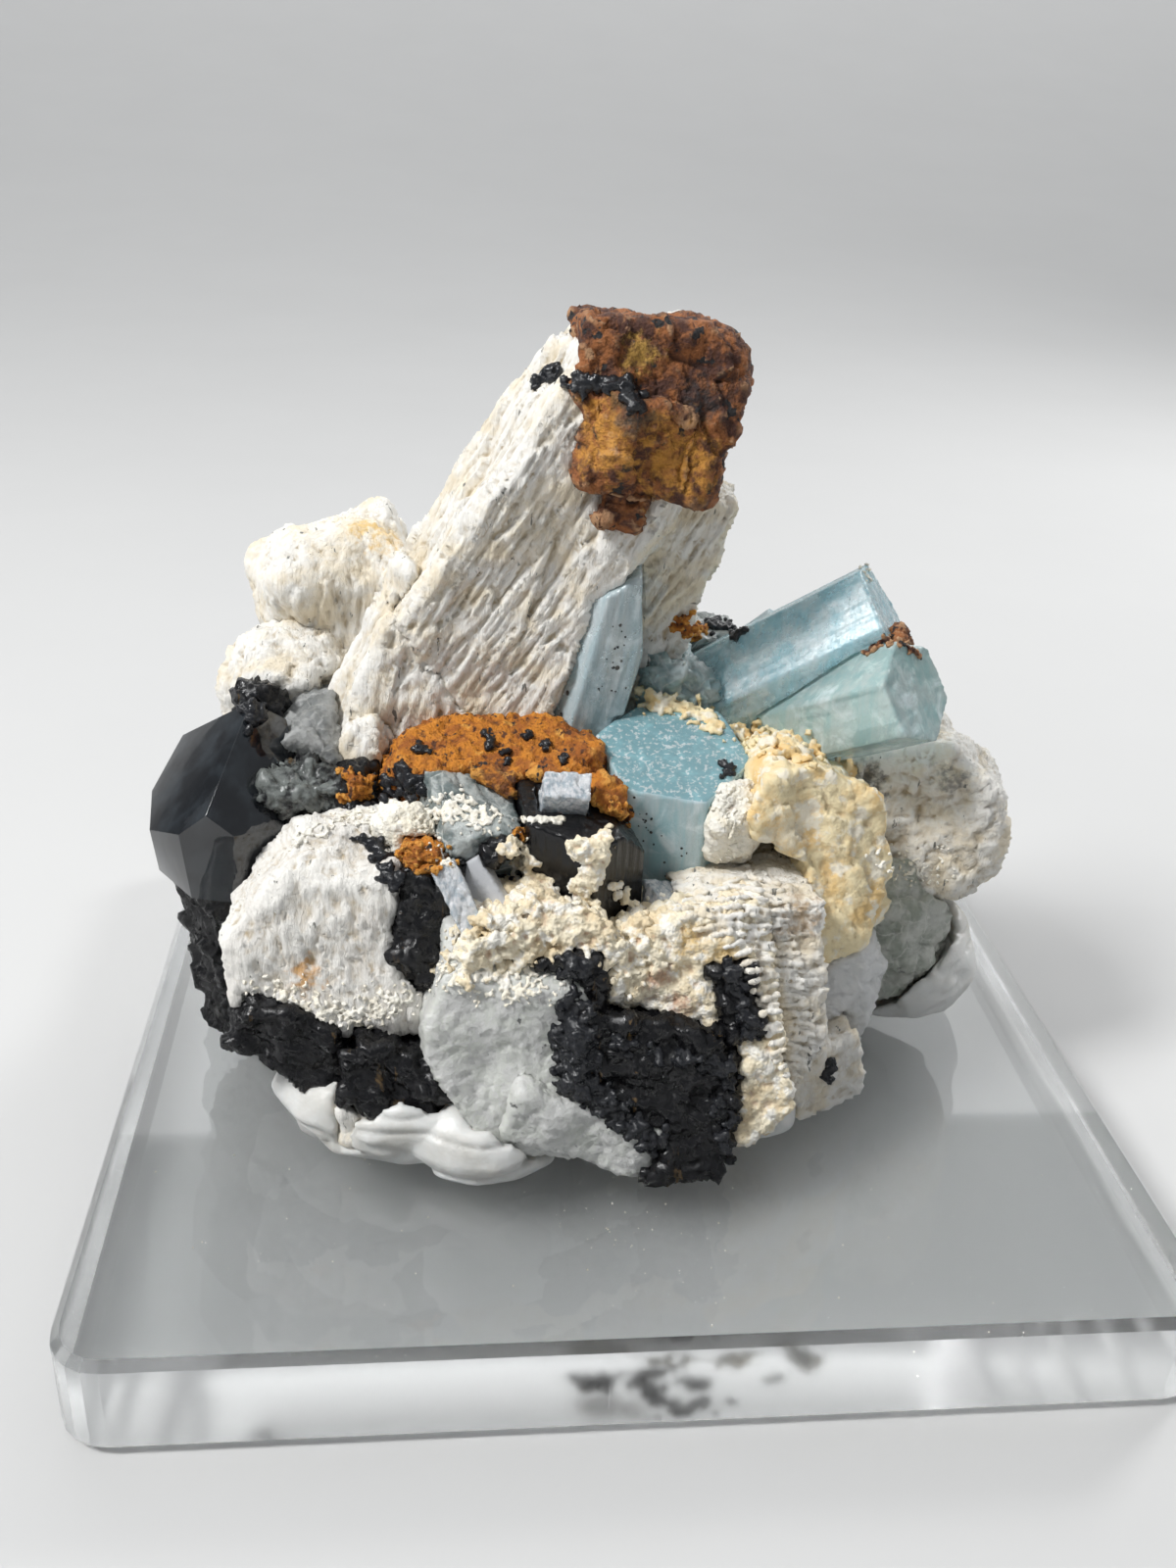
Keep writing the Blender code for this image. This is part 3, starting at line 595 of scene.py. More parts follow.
cream = crust_finish("feldspar_cream", hollow_brown_and_shade=(0.58, 0.42, 0.29))
pale_crust = crust_finish("albite_pale", light=(0.88, 0.85, 0.76), dark=(0.84, 0.78, 0.64))
yellow = crust_finish("feldspar_yellow", light=(0.84, 0.72, 0.46), dark=(0.78, 0.55, 0.25),
                      hollow_brown_and_shade=(0.5, 0.36, 0.2), pale=(0.84, 0.78, 0.64), grain=0.03)

for node, habit, finish, slot in [
        ("feldspar_front_center", crumbly(0.75, 0.26, 41, hills=0.5), cream, "cream_feldspar"),
        ("albite_crust_upper", crumbly(0.6, 0.28, 42, hills=0.5), cream, "cream_feldspar"),
        ("albite_patch", laths((1.0, 0.0, -0.45), 0.4, 1.6, 0.16, 43), pale_crust, "cream_feldspar"),
        ("albite_small_left", crumbly(0.5, 0.22, 44), pale_crust, "cream_feldspar"),
        ("feldspar_yellow", broken(1.9, 0.2, 45, hills=0.6, lean=1.3, groove=0.12), yellow,
         "stained_feldspar"),
        ("albite_crust_back", crumbly(0.7, 0.3, 46, hills=0.5), yellow, "stained_feldspar")]:
    dress(carve(skin(node, 0.13), habit), node, finish, slot)

# %% [markdown]
# Limonite is rusty iron ore that coats other stones. The cap on the tall crystal is dark and
# blocky, the one in the middle is a bright orange skin with black spots, and the seam between the
# blue crystals is fibrous. One recipe serves all of them: two rusts blended by noise, a painted
# highlight of paler rust on the ridges, near-black in long cracks and in spots, near-black painted
# shade in the hollows, and a rough relief.

# %% Limonite
def rust_finish(name, light, dark, ridge_highlight, spots, grain):
    finish = Finish(name, roughness=0.8)
    share = finish.between(finish.noise(grain, seed=2.0, distortion=0.6), 0.4, 0.6)
    # Painted highlight: paler rust on the ridges of the mesh.
    ridge_highlit = finish.blend(finish.ridges(0.53, 0.6), finish.blend(share, dark, light), ridge_highlight)
    long_way = finish.along((1.0, 0.0, 0.2), 5.0)
    cracks = finish.between(finish.noise(0.6, place=long_way, detail=7.0, seed=40.0), 0.58, 0.64)
    cracked = finish.blend(cracks, ridge_highlit, (0.1, 0.035, 0.013))
    # Painted shade: the hollows of the mesh turn near-black.
    deep = finish.blend(finish.ridges(0.42, 0.5), (0.05, 0.02, 0.012), cracked)
    black = finish.between(finish.noise(1.1, seed=12.0, detail=2.0), spots, spots + 0.03)
    finish.colour(finish.blend(black, deep, (0.02, 0.018, 0.018)))
    finish.bump(finish.noise(0.35, detail=8.0), 0.22)
    finish.bump(finish.cells(0.2), 0.07)
    return finish


cap_rust = rust_finish("limonite_brown", light=(0.31, 0.11, 0.032), dark=(0.07, 0.025, 0.015),
                       ridge_highlight=(0.44, 0.25, 0.13), spots=0.62, grain=1.3)
orange_rust = rust_finish("limonite_orange", light=(0.58, 0.21, 0.018), dark=(0.33, 0.1, 0.012),
                          ridge_highlight=(0.68, 0.32, 0.06), spots=0.63, grain=1.4)
for node, habit, finish in [
        ("limonite_cap_top", broken(2.0, 0.3, 51, hills=0.4, lean=1.1, groove=0.25), cap_rust),
        ("limonite_cap_center", broken(0.9, 0.2, 52, hills=0.35, hill_size=2.4, groove=0.4),
         orange_rust),
        ("limonite_seam", broken(0.5, 0.14, 53, hills=0.15), cap_rust),
        ("limonite_small_left", broken(0.7, 0.2, 54, hills=0.25), orange_rust),
        ("limonite_small_right", broken(0.7, 0.2, 55, hills=0.25), orange_rust)]:
    dress(carve(skin(node, 0.12), habit), node, finish, "limonite")

# %% [markdown]
# Schorl, the black tourmaline, is black glass with fine grooves along its length. Where it ends in
# its own faces it is glossy, and where it is broken it is a heap of small shining splinters, so the
# roughness changes from patch to patch.

# %% Schorl
BLACK = (0.006, 0.006, 0.007)


def schorl_finish(name, axis, gloss, rough, brown=0.72, body=BLACK):
    finish = Finish(name, roughness=gloss, ior=1.64)
    finish.shader.inputs["Specular IOR Level"].default_value = 0.3
    long_way = finish.along(axis, 12.0)
    brown_share = finish.between(finish.noise(1.2, place=long_way, seed=4.0), brown, brown + 0.06)
    finish.colour(finish.blend(brown_share, body, (0.11, 0.07, 0.03)))
    patches = finish.between(finish.noise(0.8, seed=8.0), 0.4, 0.6)
    finish.vary("Roughness", patches, gloss, rough)
    finish.bump(finish.noise(0.3, place=long_way, detail=5.0), 0.06)
    finish.bump(finish.cells(0.3, output="Color"), 0.05)
    return finish


for seed, (node, axis, depth, body) in enumerate([
        ("schorl_front_prism", (-0.02, -0.07, 1.0), 0.07, BLACK),
        ("schorl_back", (-0.12, 0.28, 0.95), 0.09, BLACK),
        ("schorl_blade", (0.75, -0.25, -0.6), 0.02, (0.5, 0.51, 0.53))]):
    crisp = skin(node, 0.13, grow=0.08, rounding=1)
    finish = schorl_finish(node + "_black", axis, gloss=0.07, rough=0.22, brown=0.9, body=body)
    dress(carve(crisp, grooves(axis, 0.5, depth, 60 + seed)), node, finish, "schorl")

# %% Broken schorl
for seed, (node, axis, width, length, depth) in enumerate([
        ("schorl_left_rear", (0.2, 0.0, 1.0), 1.0, 1.6, 0.22),
        ("schorl_chips_left", (0.0, 0.0, 1.0), 0.7, 0.9, 0.25),
        ("schorl_center", (-0.3, 0.0, 1.0), 0.6, 1.2, 0.2),
        ("schorl_low_left", (1.0, 0.0, -0.4), 0.55, 3.4, 0.2),
        ("schorl_low_middle", (0.8, 0.0, -0.5), 0.7, 1.6, 0.26),
        ("schorl_front_low", (0.3, 0.0, 1.0), 0.6, 0.8, 0.18),
        ("schorl_sliver_right", (0.2, 0.0, 1.0), 0.5, 0.8, 0.16)]):
    rough_skin = skin(node, 0.13, grow=0.34, rounding=2)
    habit = laths(axis, width, length, depth * 1.5, 70 + 3 * seed, hills=0.55, hill_size=1.4)
    finish = schorl_finish(node + "_black", axis, gloss=0.09, rough=0.4, brown=0.62)
    dress(carve(rough_skin, habit), node, finish, "schorl")

# %% [markdown]
# Quartz fills the spaces between. It is milky: some light goes through, most is scattered by tiny
# cracks. Real scattering inside a solid is slow to render, so the shader mixes a share of
# transmission with a pale body colour, and lays white veins over it along the edges of cells.

# %% Quartz and grey-green glass
def milky_finish(name, body, vein, through, dark, rough=0.3):
    finish = Finish(name, roughness=rough, transmission=through, ior=1.54)
    cloudy = finish.blend(finish.between(finish.noise(1.6, seed=6.0), 0.38, 0.64), body, vein)
    bent = finish.add("ShaderNodeVectorMath", {0: finish.place, 1: finish.noise(1.5, seed=15.0)},
                      operation='ADD').outputs[0]
    lines = finish.between(finish.cells(1.8, place=bent, feature='DISTANCE_TO_EDGE'), 0.05, 0.0)
    spots = finish.between(finish.noise(1.3, seed=21.0), 0.66, 0.72)
    finish.colour(finish.blend(spots, finish.blend(lines, cloudy, vein), dark))
    finish.bump(finish.noise(0.4, detail=6.0), 0.12)
    finish.bump(finish.cells(0.3, output="Color"), 0.05)
    return finish


SMOKY = (0.12, 0.12, 0.12)
GLASSY = (0.62, 0.66, 0.64)

for seed, (node, habit, size, depth, hills, body, vein, through) in enumerate([
        ("quartz_plate", crumbly, 0.5, 0.1, 0.45, (0.93, 0.95, 0.88), (0.97, 0.97, 0.94), 0.4),
        ("quartz_grey_right", broken, 1.8, 0.24, 0.4, (0.46, 0.5, 0.42), (0.76, 0.77, 0.7), 0.35),
        ("quartz_white_right", broken, 1.4, 0.2, 0.4, (0.86, 0.87, 0.86), (0.94, 0.94, 0.93), 0.3),
        ("quartz_left", broken, 1.5, 0.22, 0.4, (0.4, 0.42, 0.42), (0.74, 0.75, 0.73), 0.6),
        ("quartz_pale_back", broken, 1.3, 0.4, 0.3, (0.42, 0.6, 0.62), (0.7, 0.8, 0.8), 0.55)]):
    stone = carve(skin(node, 0.14, rounding=2), habit(size, depth, 80 + seed, hills=hills))
    dress(stone, node, milky_finish(node + "_milky", body, vein, through, SMOKY), "milky_quartz")

for seed, (node, body) in enumerate([("glassy_grey_crystal", (0.2, 0.25, 0.25)),
                                     ("dark_crystal_back", (0.1, 0.13, 0.12))]):
    stone = carve(skin(node, 0.14, grow=0.2, rounding=1), broken(1.8, 0.16, 90 + seed, hills=0.2))
    finish = milky_finish(node + "_glass", body, GLASSY, 0.3, (0.03, 0.03, 0.03), rough=0.1)
    dress(stone, node, finish, "grey_green_crystal")

# %% [markdown]
# The aquamarines are six-sided columns of clear blue beryl, finely grooved along their length and
# frosted by etching. The see-through body is plain transmission with the beryl's own refraction,
# its blue comes from absorption over the thickness of the crystal, and its cloudy veils are patches
# where less light goes through.

# %% Aquamarine
def aquamarine_finish(name, axis, deep, pale, absorb, density, clear, frost, specks, seed, etched_top_with_glints):
    finish = Finish(name, roughness=frost, ior=1.58)
    long_way = finish.along(axis, 9.0)
    streaks = finish.noise(1.1, place=long_way, detail=5.0, seed=seed)
    body = finish.blend(finish.between(streaks, 0.36, 0.64), deep, pale)
    veil = finish.between(finish.noise(1.6, detail=7.0, seed=seed + 7.0, distortion=0.6), 0.46, 0.72)
    shown = finish.blend(finish.math('MULTIPLY', veil, 0.8), body, (0.84, 0.93, 0.95))
    if specks:
        dots = finish.between(finish.cells(1.0), specks, specks * 0.7)
        few = finish.between(finish.noise(2.0, seed=seed + 3.0), 0.5, 0.56)
        shown = finish.blend(finish.math('MULTIPLY', dots, few), shown, (0.05, 0.04, 0.035))
    if etched_top_with_glints:
        facing = finish.add("ShaderNodeSeparateXYZ", {0: finish.geometry.outputs["Normal"]})
        # Painted glints: near-white flecks over the darker teal of the etched top.
        painted_glints = finish.between(finish.noise(0.3, detail=4.0, seed=17.0), 0.52, 0.64)
        etched_teal_and_glints = finish.blend(painted_glints, (0.3, 0.55, 0.61), (0.8, 0.9, 0.92))
        shown = finish.blend(finish.between(facing.outputs["Z"], 0.55, 0.8), shown, etched_teal_and_glints)
    finish.colour(shown)
    finish.vary("Transmission Weight", veil, clear, clear * 0.5)
    finish.vary("Roughness", finish.noise(0.9, seed=seed), frost * 0.4, frost, 0.35, 0.65)
    finish.bump(finish.noise(0.22, place=long_way, detail=5.0, seed=seed), 0.04)
    finish.bump(finish.cells(0.28, output="Color"), 0.045)
    finish.absorb(absorb, density)
    return finish


for seed, (node, axis, *recipe) in enumerate([
        ("aquamarine_front", (0.0, -0.13, 1.0), (0.52, 0.82, 0.9), (0.78, 0.94, 0.98),
         (0.55, 0.85, 0.94), 14.0, 0.42, 0.26, 0.12),
        ("aquamarine_back", (0.23, 0.0, 1.0), (0.6, 0.78, 0.84), (0.8, 0.91, 0.94),
         (0.55, 0.8, 0.88), 14.0, 0.45, 0.3, 0.2),
        ("aquamarine_hex", (0.63, -0.66, 0.52), (0.56, 0.81, 0.81), (0.8, 0.93, 0.92),
         (0.55, 0.84, 0.85), 26.0, 0.6, 0.2, 0.0),
        ("aquamarine_large", (0.79, -0.23, 0.56), (0.46, 0.77, 0.86), (0.78, 0.93, 0.96),
         (0.5, 0.84, 0.93), 26.0, 0.55, 0.34, 0.0)]):
    crisp = skin(node, 0.12, grow=0.06, rounding=1)
    finish = aquamarine_finish(node + "_blue", axis, *recipe, seed=float(seed),
                               etched_top_with_glints=node == "aquamarine_front")
    dress(carve(crisp, grooves(axis, 0.7, 0.06, 100 + seed)), node, finish, "aquamarine")

# %% [markdown]
# The smallest crystals are clear as window glass, with white clouds inside and grooves so fine that
# their net must be finer too. The stout black column at the left ends in mirror-like faces. A net
# of voxels would round their edges off, so its upper part keeps the solid's own flat faces, with a
# narrow bevel that catches the light, and only its broken root gets a skin.

# %% Clear prisms and the glossy schorl
def clear_finish(name, axis):
    finish = Finish(name, roughness=0.1, transmission=0.35, ior=1.54)
    long_way = finish.along(axis, 7.0)
    streaks = finish.between(finish.noise(0.3, place=long_way, detail=5.0), 0.4, 0.62)
    clouds = finish.between(finish.noise(0.7, detail=6.0, seed=5.0), 0.5, 0.64)
    streaked = finish.blend(streaks, (0.52, 0.6, 0.66), (0.97, 0.98, 1.0))
    finish.colour(finish.blend(clouds, streaked, (0.98, 0.99, 1.0)))
    finish.bump(finish.noise(0.2, place=long_way, detail=5.0), 0.12)
    return finish


def chipped(axis, seed):
    """Fine grooves along a small crystal, with a few chips knocked out of it."""
    groove = grooves(axis, 0.35, 0.05, seed)
    chip = broken(1.0, 0.06, seed + 1, hills=0.06, hill_size=1.0)

    return lambda place: groove(place) + chip(place)


for seed, (node, axis) in enumerate([("clear_prism_upper", (0.0, 0.0, 1.0)),
                                     ("clear_prism_lower", (-0.4, 0.4, 0.8)),
                                     ("quartz_small_clear", (0.3, 0.0, 1.0))]):
    small = skin(node, 0.07, grow=0.05, rounding=1)
    dress(carve(small, chipped(axis, 94 + 2 * seed)), node, clear_finish(node + "_clear", axis),
          "clear_crystal")

LEFT_AXIS = (-0.04, -0.14, 1.0)
COLUMN_CUT = Vector((-25.0, -3.7, 20.4))
CUT_FACING = Vector((0.1, -0.25, 1.0))
ROOT_SHIFT = Vector((0.9, 0.4, 0.0))


def part_of_column(name, keep_upper):
    """The column's solid above or below the cut, closed again where it was cut."""
    bm = copy_in_mm("schorl_left")
    bmesh.ops.dissolve_limit(bm, angle_limit=math.radians(2.0), verts=bm.verts, edges=bm.edges)
    bmesh.ops.bisect_plane(bm, geom=bm.verts[:] + bm.edges[:] + bm.faces[:], plane_co=COLUMN_CUT,
                           plane_no=CUT_FACING, clear_inner=keep_upper, clear_outer=not keep_upper)
    bmesh.ops.holes_fill(bm, edges=[edge for edge in bm.edges if edge.is_boundary])
    bmesh.ops.recalc_face_normals(bm, faces=bm.faces)
    if keep_upper:
        bmesh.ops.bevel(bm, geom=bm.edges[:], offset=0.16, segments=2, profile=0.5,
                        affect='EDGES', clamp_overlap=True)
    else:
        bmesh.ops.translate(bm, verts=bm.verts, vec=ROOT_SHIFT)
    return piece_from(bm, name)


mirror = Finish("schorl_mirror", roughness=0.05, ior=1.64)
mirror.shader.inputs["Specular IOR Level"].default_value = 0.65
mirror.colour(mirror.blend(mirror.between(mirror.noise(2.4), 0.4, 0.7), (0.005, 0.006, 0.008),
                           (0.02, 0.025, 0.03)))
mirror.bump(mirror.noise(1.8, place=mirror.along(LEFT_AXIS, 6.0), detail=2.0), 0.03)
dress(part_of_column("schorl_left_skin", True), "schorl_left", mirror, "schorl")
column_root = net(part_of_column("schorl_left_root", False), 0.14, 0.1, 1)
carve(column_root, laths(LEFT_AXIS, 0.8, 2.4, 0.4, 130, hills=0.5, hill_size=2.0))
root_black = schorl_finish("schorl_root_black", LEFT_AXIS, gloss=0.16, rough=0.45)
stones["schorl_left_root"] = settle(column_root, root_black, "schorl")

# %% [markdown]
# Under and behind everything lies the stone that the crystals grew on, a rough grey-white mass that
# shows only in the gaps, and soft putty is pressed between it and the slab. Putty has no grain: it
# is smooth, with folds where a thumb pushed it, so its skin moves in long soft waves only.

# %% Matrix and putty
matrix_white = feldspar_finish("matrix_white", UPRIGHT, light=(0.66, 0.65, 0.61), tint=(0.56, 0.5, 0.4))
dress(carve(skin("matrix_core", 0.35), broken(2.0, 0.4, 110, hills=0.6)), "matrix_core", matrix_white,
      "matrix")

putty = Finish("putty_white", roughness=0.42)
putty.shader.inputs["Subsurface Weight"].default_value = 0.25
putty.shader.inputs["Subsurface Radius"].default_value = (1.2 * MM, 1.0 * MM, 0.9 * MM)
putty.shader.inputs["Subsurface Scale"].default_value = 1.0
putty.colour(putty.blend(putty.between(putty.noise(4.0), 0.4, 0.7), (0.72, 0.72, 0.7),
                         (0.62, 0.61, 0.57)))
putty.bump(putty.noise(1.4, detail=3.0), 0.12)


def folds(seed):
    """Long soft waves with a crease here and there."""
    def height(place):
        fold = noise.noise(Vector((place.x / 6.0, place.y / 6.0, place.z / 1.6)) + seeded(seed))
        return 0.35 * fold - 2.0 * max(0.0, 0.12 - abs(fold))

    return height


for seed, node in enumerate(["putty_front_left", "putty_front_right", "putty_back_right"]):
    dress(carve(skin(node, 0.2, grow=0.2, rounding=14), folds(120 + seed)), node, putty, "putty")

# %% [markdown]
# The slab is a square of clear acrylic with rounded corners and a small chamfer. Its solid is
# already exact, so it stays, and only its finish changes: clear, duller at the edges, and with fine
# scratches as a weak relief.

# %% Acrylic slab
acrylic = Finish("clear_acrylic", roughness=0.03, transmission=1.0, ior=1.49)
scratches = acrylic.noise(0.12, place=acrylic.along((0.8, 0.6, 0.0), 60.0), detail=2.0)
acrylic.colour((0.97, 0.985, 0.985))
acrylic.bump(acrylic.between(scratches, 0.7, 0.76), 0.004)
facing = acrylic.add("ShaderNodeSeparateXYZ", {0: acrylic.geometry.outputs["True Normal"]})
polished = acrylic.between(acrylic.math('ABSOLUTE', facing.outputs["Z"]), 0.75, 0.95)
acrylic.vary("Roughness", polished, 0.19, 0.03)
slab = frame["nodes"]["acrylic_base"]
slab.data.materials.clear()
slab.data.materials.append(acrylic.material)

# %% [markdown]
# Small things sit on the stones: crumbs, sugar-like grains, a branching crust. They could be put
# down by eye, but a straight line from the camera through the right pixel of the photograph meets
# the stone exactly where the crumb sits. The nearest point where it meets any mesh is used, so that
# each crumb truly rests on its stone.

# %% Landing places
graph = bpy.context.evaluated_depsgraph_get()
trees = {node: BVHTree.FromObject(piece, graph) for node, piece in stones.items()}
trees["acrylic_base"] = BVHTree.FromObject(slab, graph)


def landing(across, down):
    """Where the sight line through a pixel meets the specimen: node, place in mm, and facing."""
    way = sight(across, down)
    nearest = None
    for node, tree in trees.items():
        place, facing, _, reach = tree.ray_cast(CAMERA_PLACE, way)
        if place is not None and (nearest is None or reach < nearest[0]):
            nearest = (reach, node, place / MM, facing)
    return nearest[1:] if nearest else None


print("middle of the photograph lands on:", landing(600, 800)[0])

# %% Stains
ORANGE_STAIN = (0.62, 0.33, 0.1)
GOLD_STAIN = (0.72, 0.5, 0.2)
OCHRE = (0.6, 0.28, 0.045)
SOOT = (0.1, 0.1, 0.1)
PINK_BROWN = (0.5, 0.3, 0.2)
SMOKE = (0.17, 0.185, 0.175)
BONE = (0.86, 0.83, 0.76)
for across, down, radius, colour in [
        (315, 993, 0.9, ORANGE_STAIN), (395, 545, 1.4, GOLD_STAIN), (370, 538, 1.0, GOLD_STAIN),
        (735, 975, 0.8, GOLD_STAIN), (703, 957, 0.9, GOLD_STAIN), (622, 450, 1.9, OCHRE),
        (692, 470, 1.9, OCHRE), (655, 362, 0.9, (0.62, 0.36, 0.08)),
        (645, 432, 0.8, (0.07, 0.07, 0.075)), (720, 405, 1.2, (0.03, 0.025, 0.025)),
        (646, 408, 0.9, (0.02, 0.02, 0.02)),
        (885, 795, 1.1, SOOT), (972, 798, 1.0, (0.25, 0.24, 0.22)), (670, 997, 0.7, PINK_BROWN),
        (694, 1025, 0.7, PINK_BROWN), (505, 797, 1.3, (0.09, 0.03, 0.012)),
        (800, 850, 1.4, (0.8, 0.72, 0.55)), (815, 935, 1.2, (0.5, 0.36, 0.22)), (272, 786, 2.0, SMOKE),
        (300, 798, 2.0, SMOKE), (318, 812, 1.4, SMOKE), (782, 885, 1.8, BONE), (770, 905, 1.2, BONE)]:
    found = landing(across, down)
    if found and found[0] in finishes:
        finishes[found[0]].stain(found[1], radius, colour)

# %% [markdown]
# A crumb is a small ball with its points pushed in and out at random, squashed and turned. All the
# crumbs of one kind are one mesh. Where they should be one crust, the Remesh net that covers the
# stones melts them together, as icing sugar cakes when it gets damp.

# %% Crumbs
def heap(name, seats, size, seed, level=1, ragged=0.5, sunk=0.25, sizes=(0.55, 1.3)):
    """A mesh of crumbs of about the given radius in millimetres, one on each seat."""
    draw = random.Random(seed)
    bm = bmesh.new()
    bmesh.ops.create_icosphere(bm, subdivisions=level, radius=1.0)
    points = np.array([vert.co[:] for vert in bm.verts])
    faces = np.array([[vert.index for vert in face.verts] for face in bm.faces])
    bm.free()
    all_points, all_faces = [], []
    for number, (place, facing) in enumerate(seats):
        radius = size * draw.uniform(*sizes)
        turn = np.array(Euler([draw.uniform(0.0, 6.28) for _ in range(3)]).to_matrix())
        shape = points * [draw.uniform(0.7, 1.3) for _ in range(3)]
        dents = np.array([1.0 - ragged * draw.random() for _ in points])
        crumb = (shape * dents[:, None]) @ turn.T * radius
        all_points.append(crumb + np.array(place + facing * radius * (0.5 - sunk)))
        all_faces.append(faces + number * len(points))
    mesh = bpy.data.meshes.new(name)
    mesh.from_pydata(np.concatenate(all_points).tolist(), [], np.concatenate(all_faces).tolist())
    mesh.validate()
    return new_piece(name, mesh)


def seats_along(seed, path, count, spread, only=None):
    """Landing places near a line of pixels, on some stones only if asked."""
    draw = random.Random(seed)
    seats = []
    for _ in range(count):
        step = draw.randrange(len(path) - 1)
        share = draw.random()
        start, end = path[step], path[step + 1]
        across = start[0] + (end[0] - start[0]) * share + draw.gauss(0.0, spread)
        down = start[1] + (end[1] - start[1]) * share + draw.gauss(0.0, spread)
        found = landing(across, down)
        if found and (only is None or found[0] in only):
            seats.append(found[1:])
    return seats


def seats_on(first_seed, strokes):
    """Landing places near several lines, each with a random order of its own."""
    seats = []
    for turn, stroke in enumerate(strokes):
        seats += seats_along(first_seed + turn, *stroke)
    return seats


# %% The branching crust
BRANCHES = [
    ([(524, 862), (536, 884), (556, 920), (580, 945)], 150, 7.0),
    ([(616, 850), (608, 880), (596, 915), (582, 945)], 130, 5.5),
    ([(585, 862), (598, 866)], 16, 4.0), ([(530, 905), (556, 915)], 30, 5.0),
    ([(640, 948), (655, 940)], 22, 5.0), ([(622, 905), (640, 910)], 12, 3.5),
    ([(470, 985), (520, 960), (580, 945), (625, 960), (660, 985)], 420, 15.0)]
crust = net(heap("branching_crust", seats_on(200, BRANCHES), 0.36, 210, level=2), 0.11)
settle(carve(crust, crumbly(0.4, 0.12, 211, hills=0.1)), cream, "cream_feldspar")

# %% [markdown]
# The fan of fine ribs at the right is feldspar that split into curved sheets. Each rib is a row of
# overlapping crumbs, and all the rows are melted into one ribbed face. Grooves could be cut into
# the stone instead, but the fan also lies over the edge of the cream stone beside it.

# %% The ribbed fan
RIB_TOP, RIB_SPACING = 893, 9
RIB_ENDS = [
    (768, 784), (740, 795), (712, 800), (696, 804), (690, 806), (696, 808), (708, 810), (728, 812),
    (740, 814), (750, 816), (756, 819), (761, 821), (765, 823), (768, 825), (771, 827), (774, 829),
    (777, 830), (780, 831), (783, 831), (786, 831), (789, 830), (792, 828), (796, 825), (800, 820)]
CRUMB_STEP = 2
RIB_ARCH = 14.0
rib_wander = random.Random(220)
seats = []
for row, (left, right) in enumerate(RIB_ENDS):
    lift, phase = rib_wander.uniform(-1.5, 1.5), rib_wander.uniform(0.0, 6.28)
    for across in range(left, right, CRUMB_STEP):
        share = (across - left) / (right - left)
        wave = 1.6 * math.sin(across / 9.0 + phase) + lift
        down = RIB_TOP + RIB_SPACING * row
        found = landing(across, down + wave - RIB_ARCH * share * (1.0 - share))
        if found:
            seats.append(found[1:])
ribs = heap("ribbed_fan", seats, 0.21, 221, level=2, ragged=0.2, sunk=0.3, sizes=(0.9, 1.1))
fan = carve(net(ribs, 0.08, rounding=2), crumbly(0.4, 0.05, 222, hills=0.06))
settle(fan, finishes["feldspar_ribbed_right"], "feldspar")

# %% Black crumbs
black_crumb_finish = schorl_finish("crumb_black", UPRIGHT, gloss=0.16, rough=0.4, brown=0.8,
                                   body=(0.014, 0.015, 0.018))
BLACK_CRUMBS = [
    ([(546, 391), (570, 376)], 34, 3.0), ([(576, 393), (610, 394), (640, 394)], 60, 4.0),
    ([(636, 400), (650, 412)], 26, 5.0), ([(496, 756), (500, 760)], 8, 3.0),
    ([(538, 748), (541, 750)], 7, 2.5), ([(555, 760), (558, 760)], 6, 2.5),
    ([(572, 774), (577, 776)], 4, 2.0), ([(430, 764), (433, 768)], 6, 3.0),
    ([(392, 800), (424, 796)], 46, 7.0), ([(408, 782), (414, 790)], 14, 5.0),
    ([(515, 768), (518, 771)], 5, 3.0), ([(720, 634), (758, 646)], 40, 5.0),
    ([(376, 858), (410, 905)], 34, 6.0), ([(846, 1080), (841, 1106)], 16, 1.6),
    ([(576, 990), (612, 986)], 70, 5.0), ([(588, 1024), (586, 1105)], 230, 10.0),
    ([(585, 1100), (665, 1165)], 150, 8.0),
    ([(620, 1062), (700, 1078), (745, 1100), (735, 1185)], 90, 6.0),
    ([(745, 985), (755, 1020), (772, 1055)], 50, 5.0),
    ([(740, 785), (748, 787)], 8, 3.0), ([(252, 715), (262, 735)], 20, 6.0)]
black_seats = seats_on(230, BLACK_CRUMBS)
black_crumbs = net(heap("black_crumbs", black_seats, 0.36, 250, level=2, ragged=0.35), 0.1)
settle(carve(black_crumbs, broken(0.5, 0.1, 251, hills=0.05)), black_crumb_finish, "schorl")

# %% White sugar
FRONT_LEFT = ["feldspar_front_left"]
WHITE_SUGAR = [
    ([(300, 860), (345, 836), (395, 828), (425, 838)], 220, 5.0, FRONT_LEFT),
    ([(425, 842), (448, 832)], 60, 5.0), ([(442, 862), (458, 884)], 50, 5.0),
    ([(448, 822), (480, 826), (500, 838)], 260, 8.0, ["glassy_grey_crystal"]),
    ([(526, 836), (574, 837)], 110, 1.6, ["schorl_front_prism"]),
    ([(265, 1015), (310, 1032), (360, 1040), (415, 1015)], 420, 11.0, FRONT_LEFT),
    ([(738, 805), (750, 850), (745, 890)], 120, 6.0, ["albite_patch", "aquamarine_front"]),
    ([(665, 905), (695, 935)], 30, 8.0, ["quartz_small_clear"]),
    ([(440, 985), (520, 1000), (555, 990)], 420, 15.0, ["quartz_plate"]),
    ([(880, 578), (886, 592)], 24, 3.0), ([(905, 880), (960, 890)], 90, 12.0)]
white_sugar = net(heap("white_sugar", seats_on(260, WHITE_SUGAR), 0.17, 280), 0.07)
settle(white_sugar, pale_crust, "cream_feldspar")

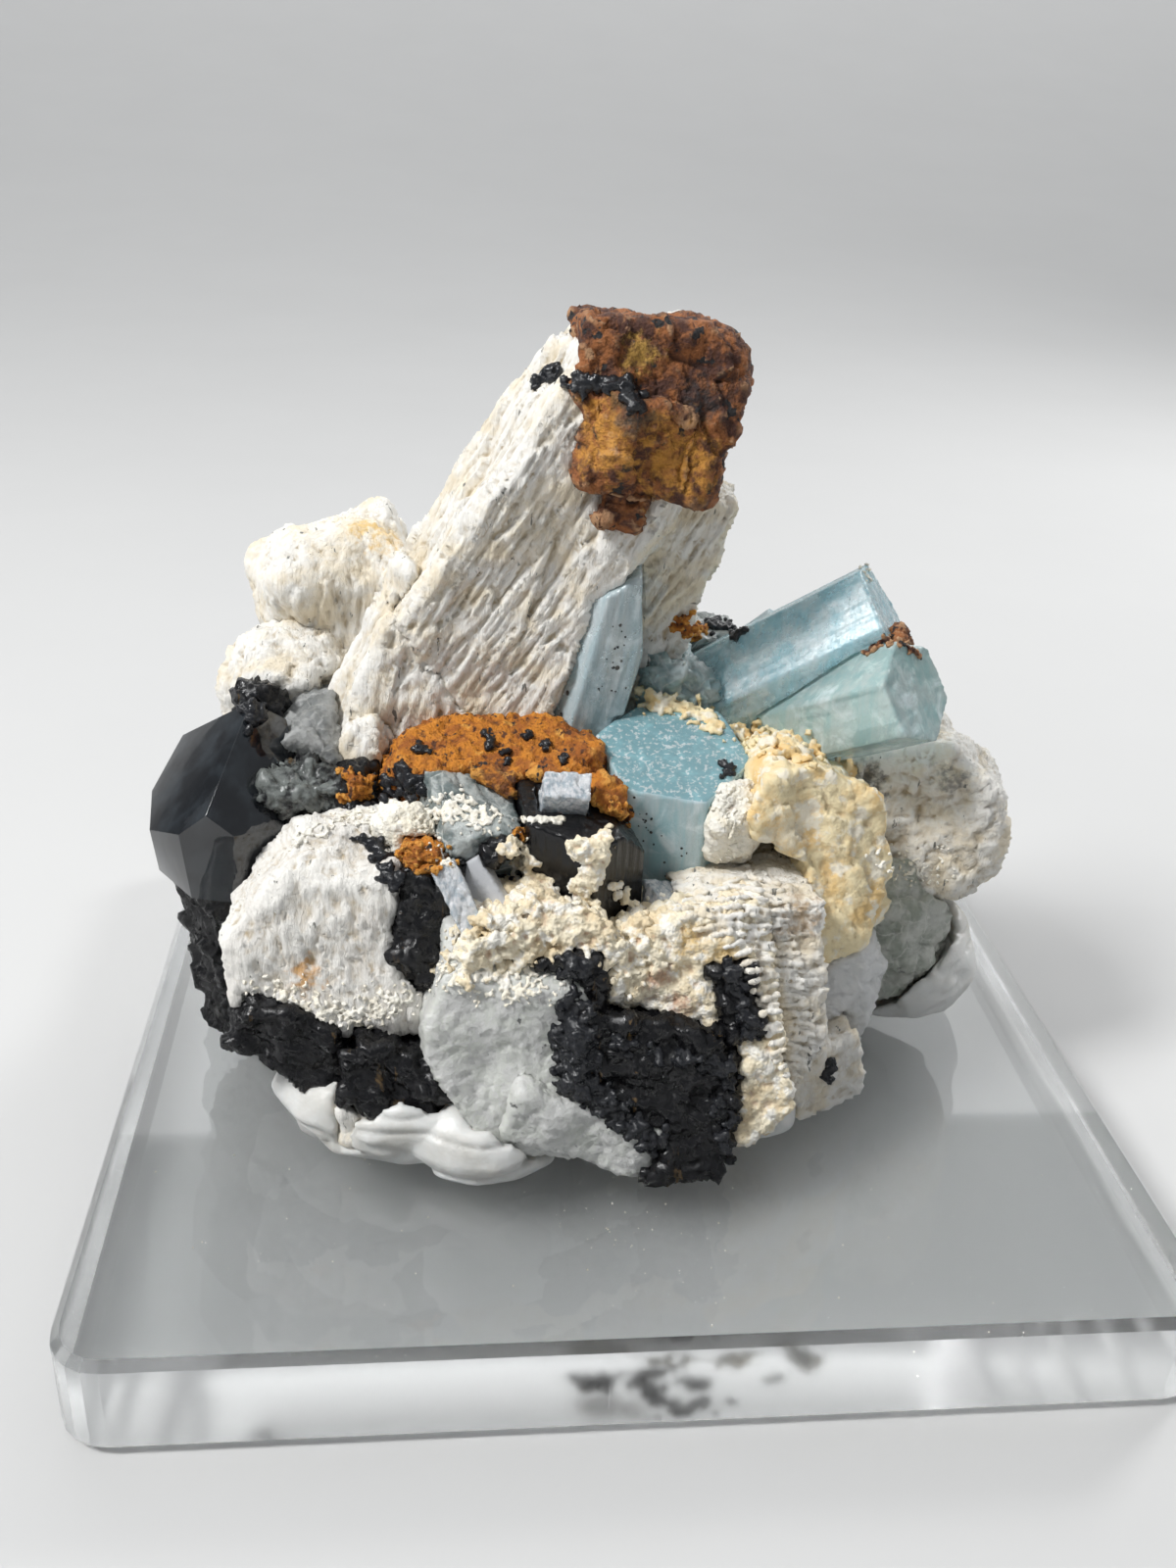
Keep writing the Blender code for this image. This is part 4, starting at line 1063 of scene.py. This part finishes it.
# %% Orange and brown crumbs
ORANGE_CRUMBS = [
    ([(352, 790), (374, 802), (372, 812)], 60, 5.0), ([(418, 866), (455, 882)], 50, 6.0),
    ([(625, 818), (640, 832)], 26, 4.0), ([(528, 852), (538, 858)], 10, 3.0),
    ([(690, 636), (722, 642)], 50, 5.0), ([(352, 812), (372, 815)], 10, 4.0)]
orange_crumbs = net(heap("orange_crumbs", seats_on(290, ORANGE_CRUMBS), 0.3, 300, level=2), 0.09)
settle(carve(orange_crumbs, broken(0.4, 0.1, 301, hills=0.05)), orange_rust, "limonite")

seam_seats = seats_along(305, [(880, 668), (905, 652), (942, 668)], 80, 2.5)
seam = net(heap("seam_fibres", seam_seats, 0.24, 306), 0.09)
settle(carve(seam, broken(0.4, 0.08, 307, hills=0.05)), cap_rust, "limonite")

SPECKS = [
    ([(655, 828), (672, 860)], 14, 6.0), ([(690, 862), (700, 870)], 4, 3.0),
    ([(618, 690), (640, 640)], 12, 8.0), ([(600, 700), (640, 700)], 5, 6.0)]
specks = heap("dark_specks", seats_on(310, SPECKS), 0.1, 320)
settle(specks, black_crumb_finish, "schorl", smooth=False)

# %% Dust on the slab
DUST = [
    ([(120, 1240), (500, 1240), (700, 1270), (1100, 1300)], 90, 60.0, ["acrylic_base"]),
    ([(560, 1230), (700, 1290)], 40, 25.0, ["acrylic_base"])]
dust = heap("slab_dust", seats_on(340, DUST), 0.06, 345, sunk=0.0)
settle(dust, pale_crust, "cream_feldspar", smooth=False)

# %% Yellow crust between the blue crystals
YELLOW_CRUST = [
    ([(652, 712), (700, 722), (735, 745)], 130, 6.0), ([(760, 750), (840, 770)], 150, 8.0)]
yellow_crust = net(heap("yellow_crust", seats_on(330, YELLOW_CRUST), 0.32, 332, level=2), 0.12)
settle(carve(yellow_crust, crumbly(0.4, 0.12, 333, hills=0.1)), yellow, "stained_feldspar")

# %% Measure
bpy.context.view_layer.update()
import json

triangles = {}
for piece in bpy.data.objects:
    if piece.type == 'MESH' and not piece.hide_render:
        piece.data.calc_loop_triangles()
        triangles[piece.name] = len(piece.data.loop_triangles)
print("triangles in all:", sum(triangles.values()), "most in one piece:", max(triangles.values()))
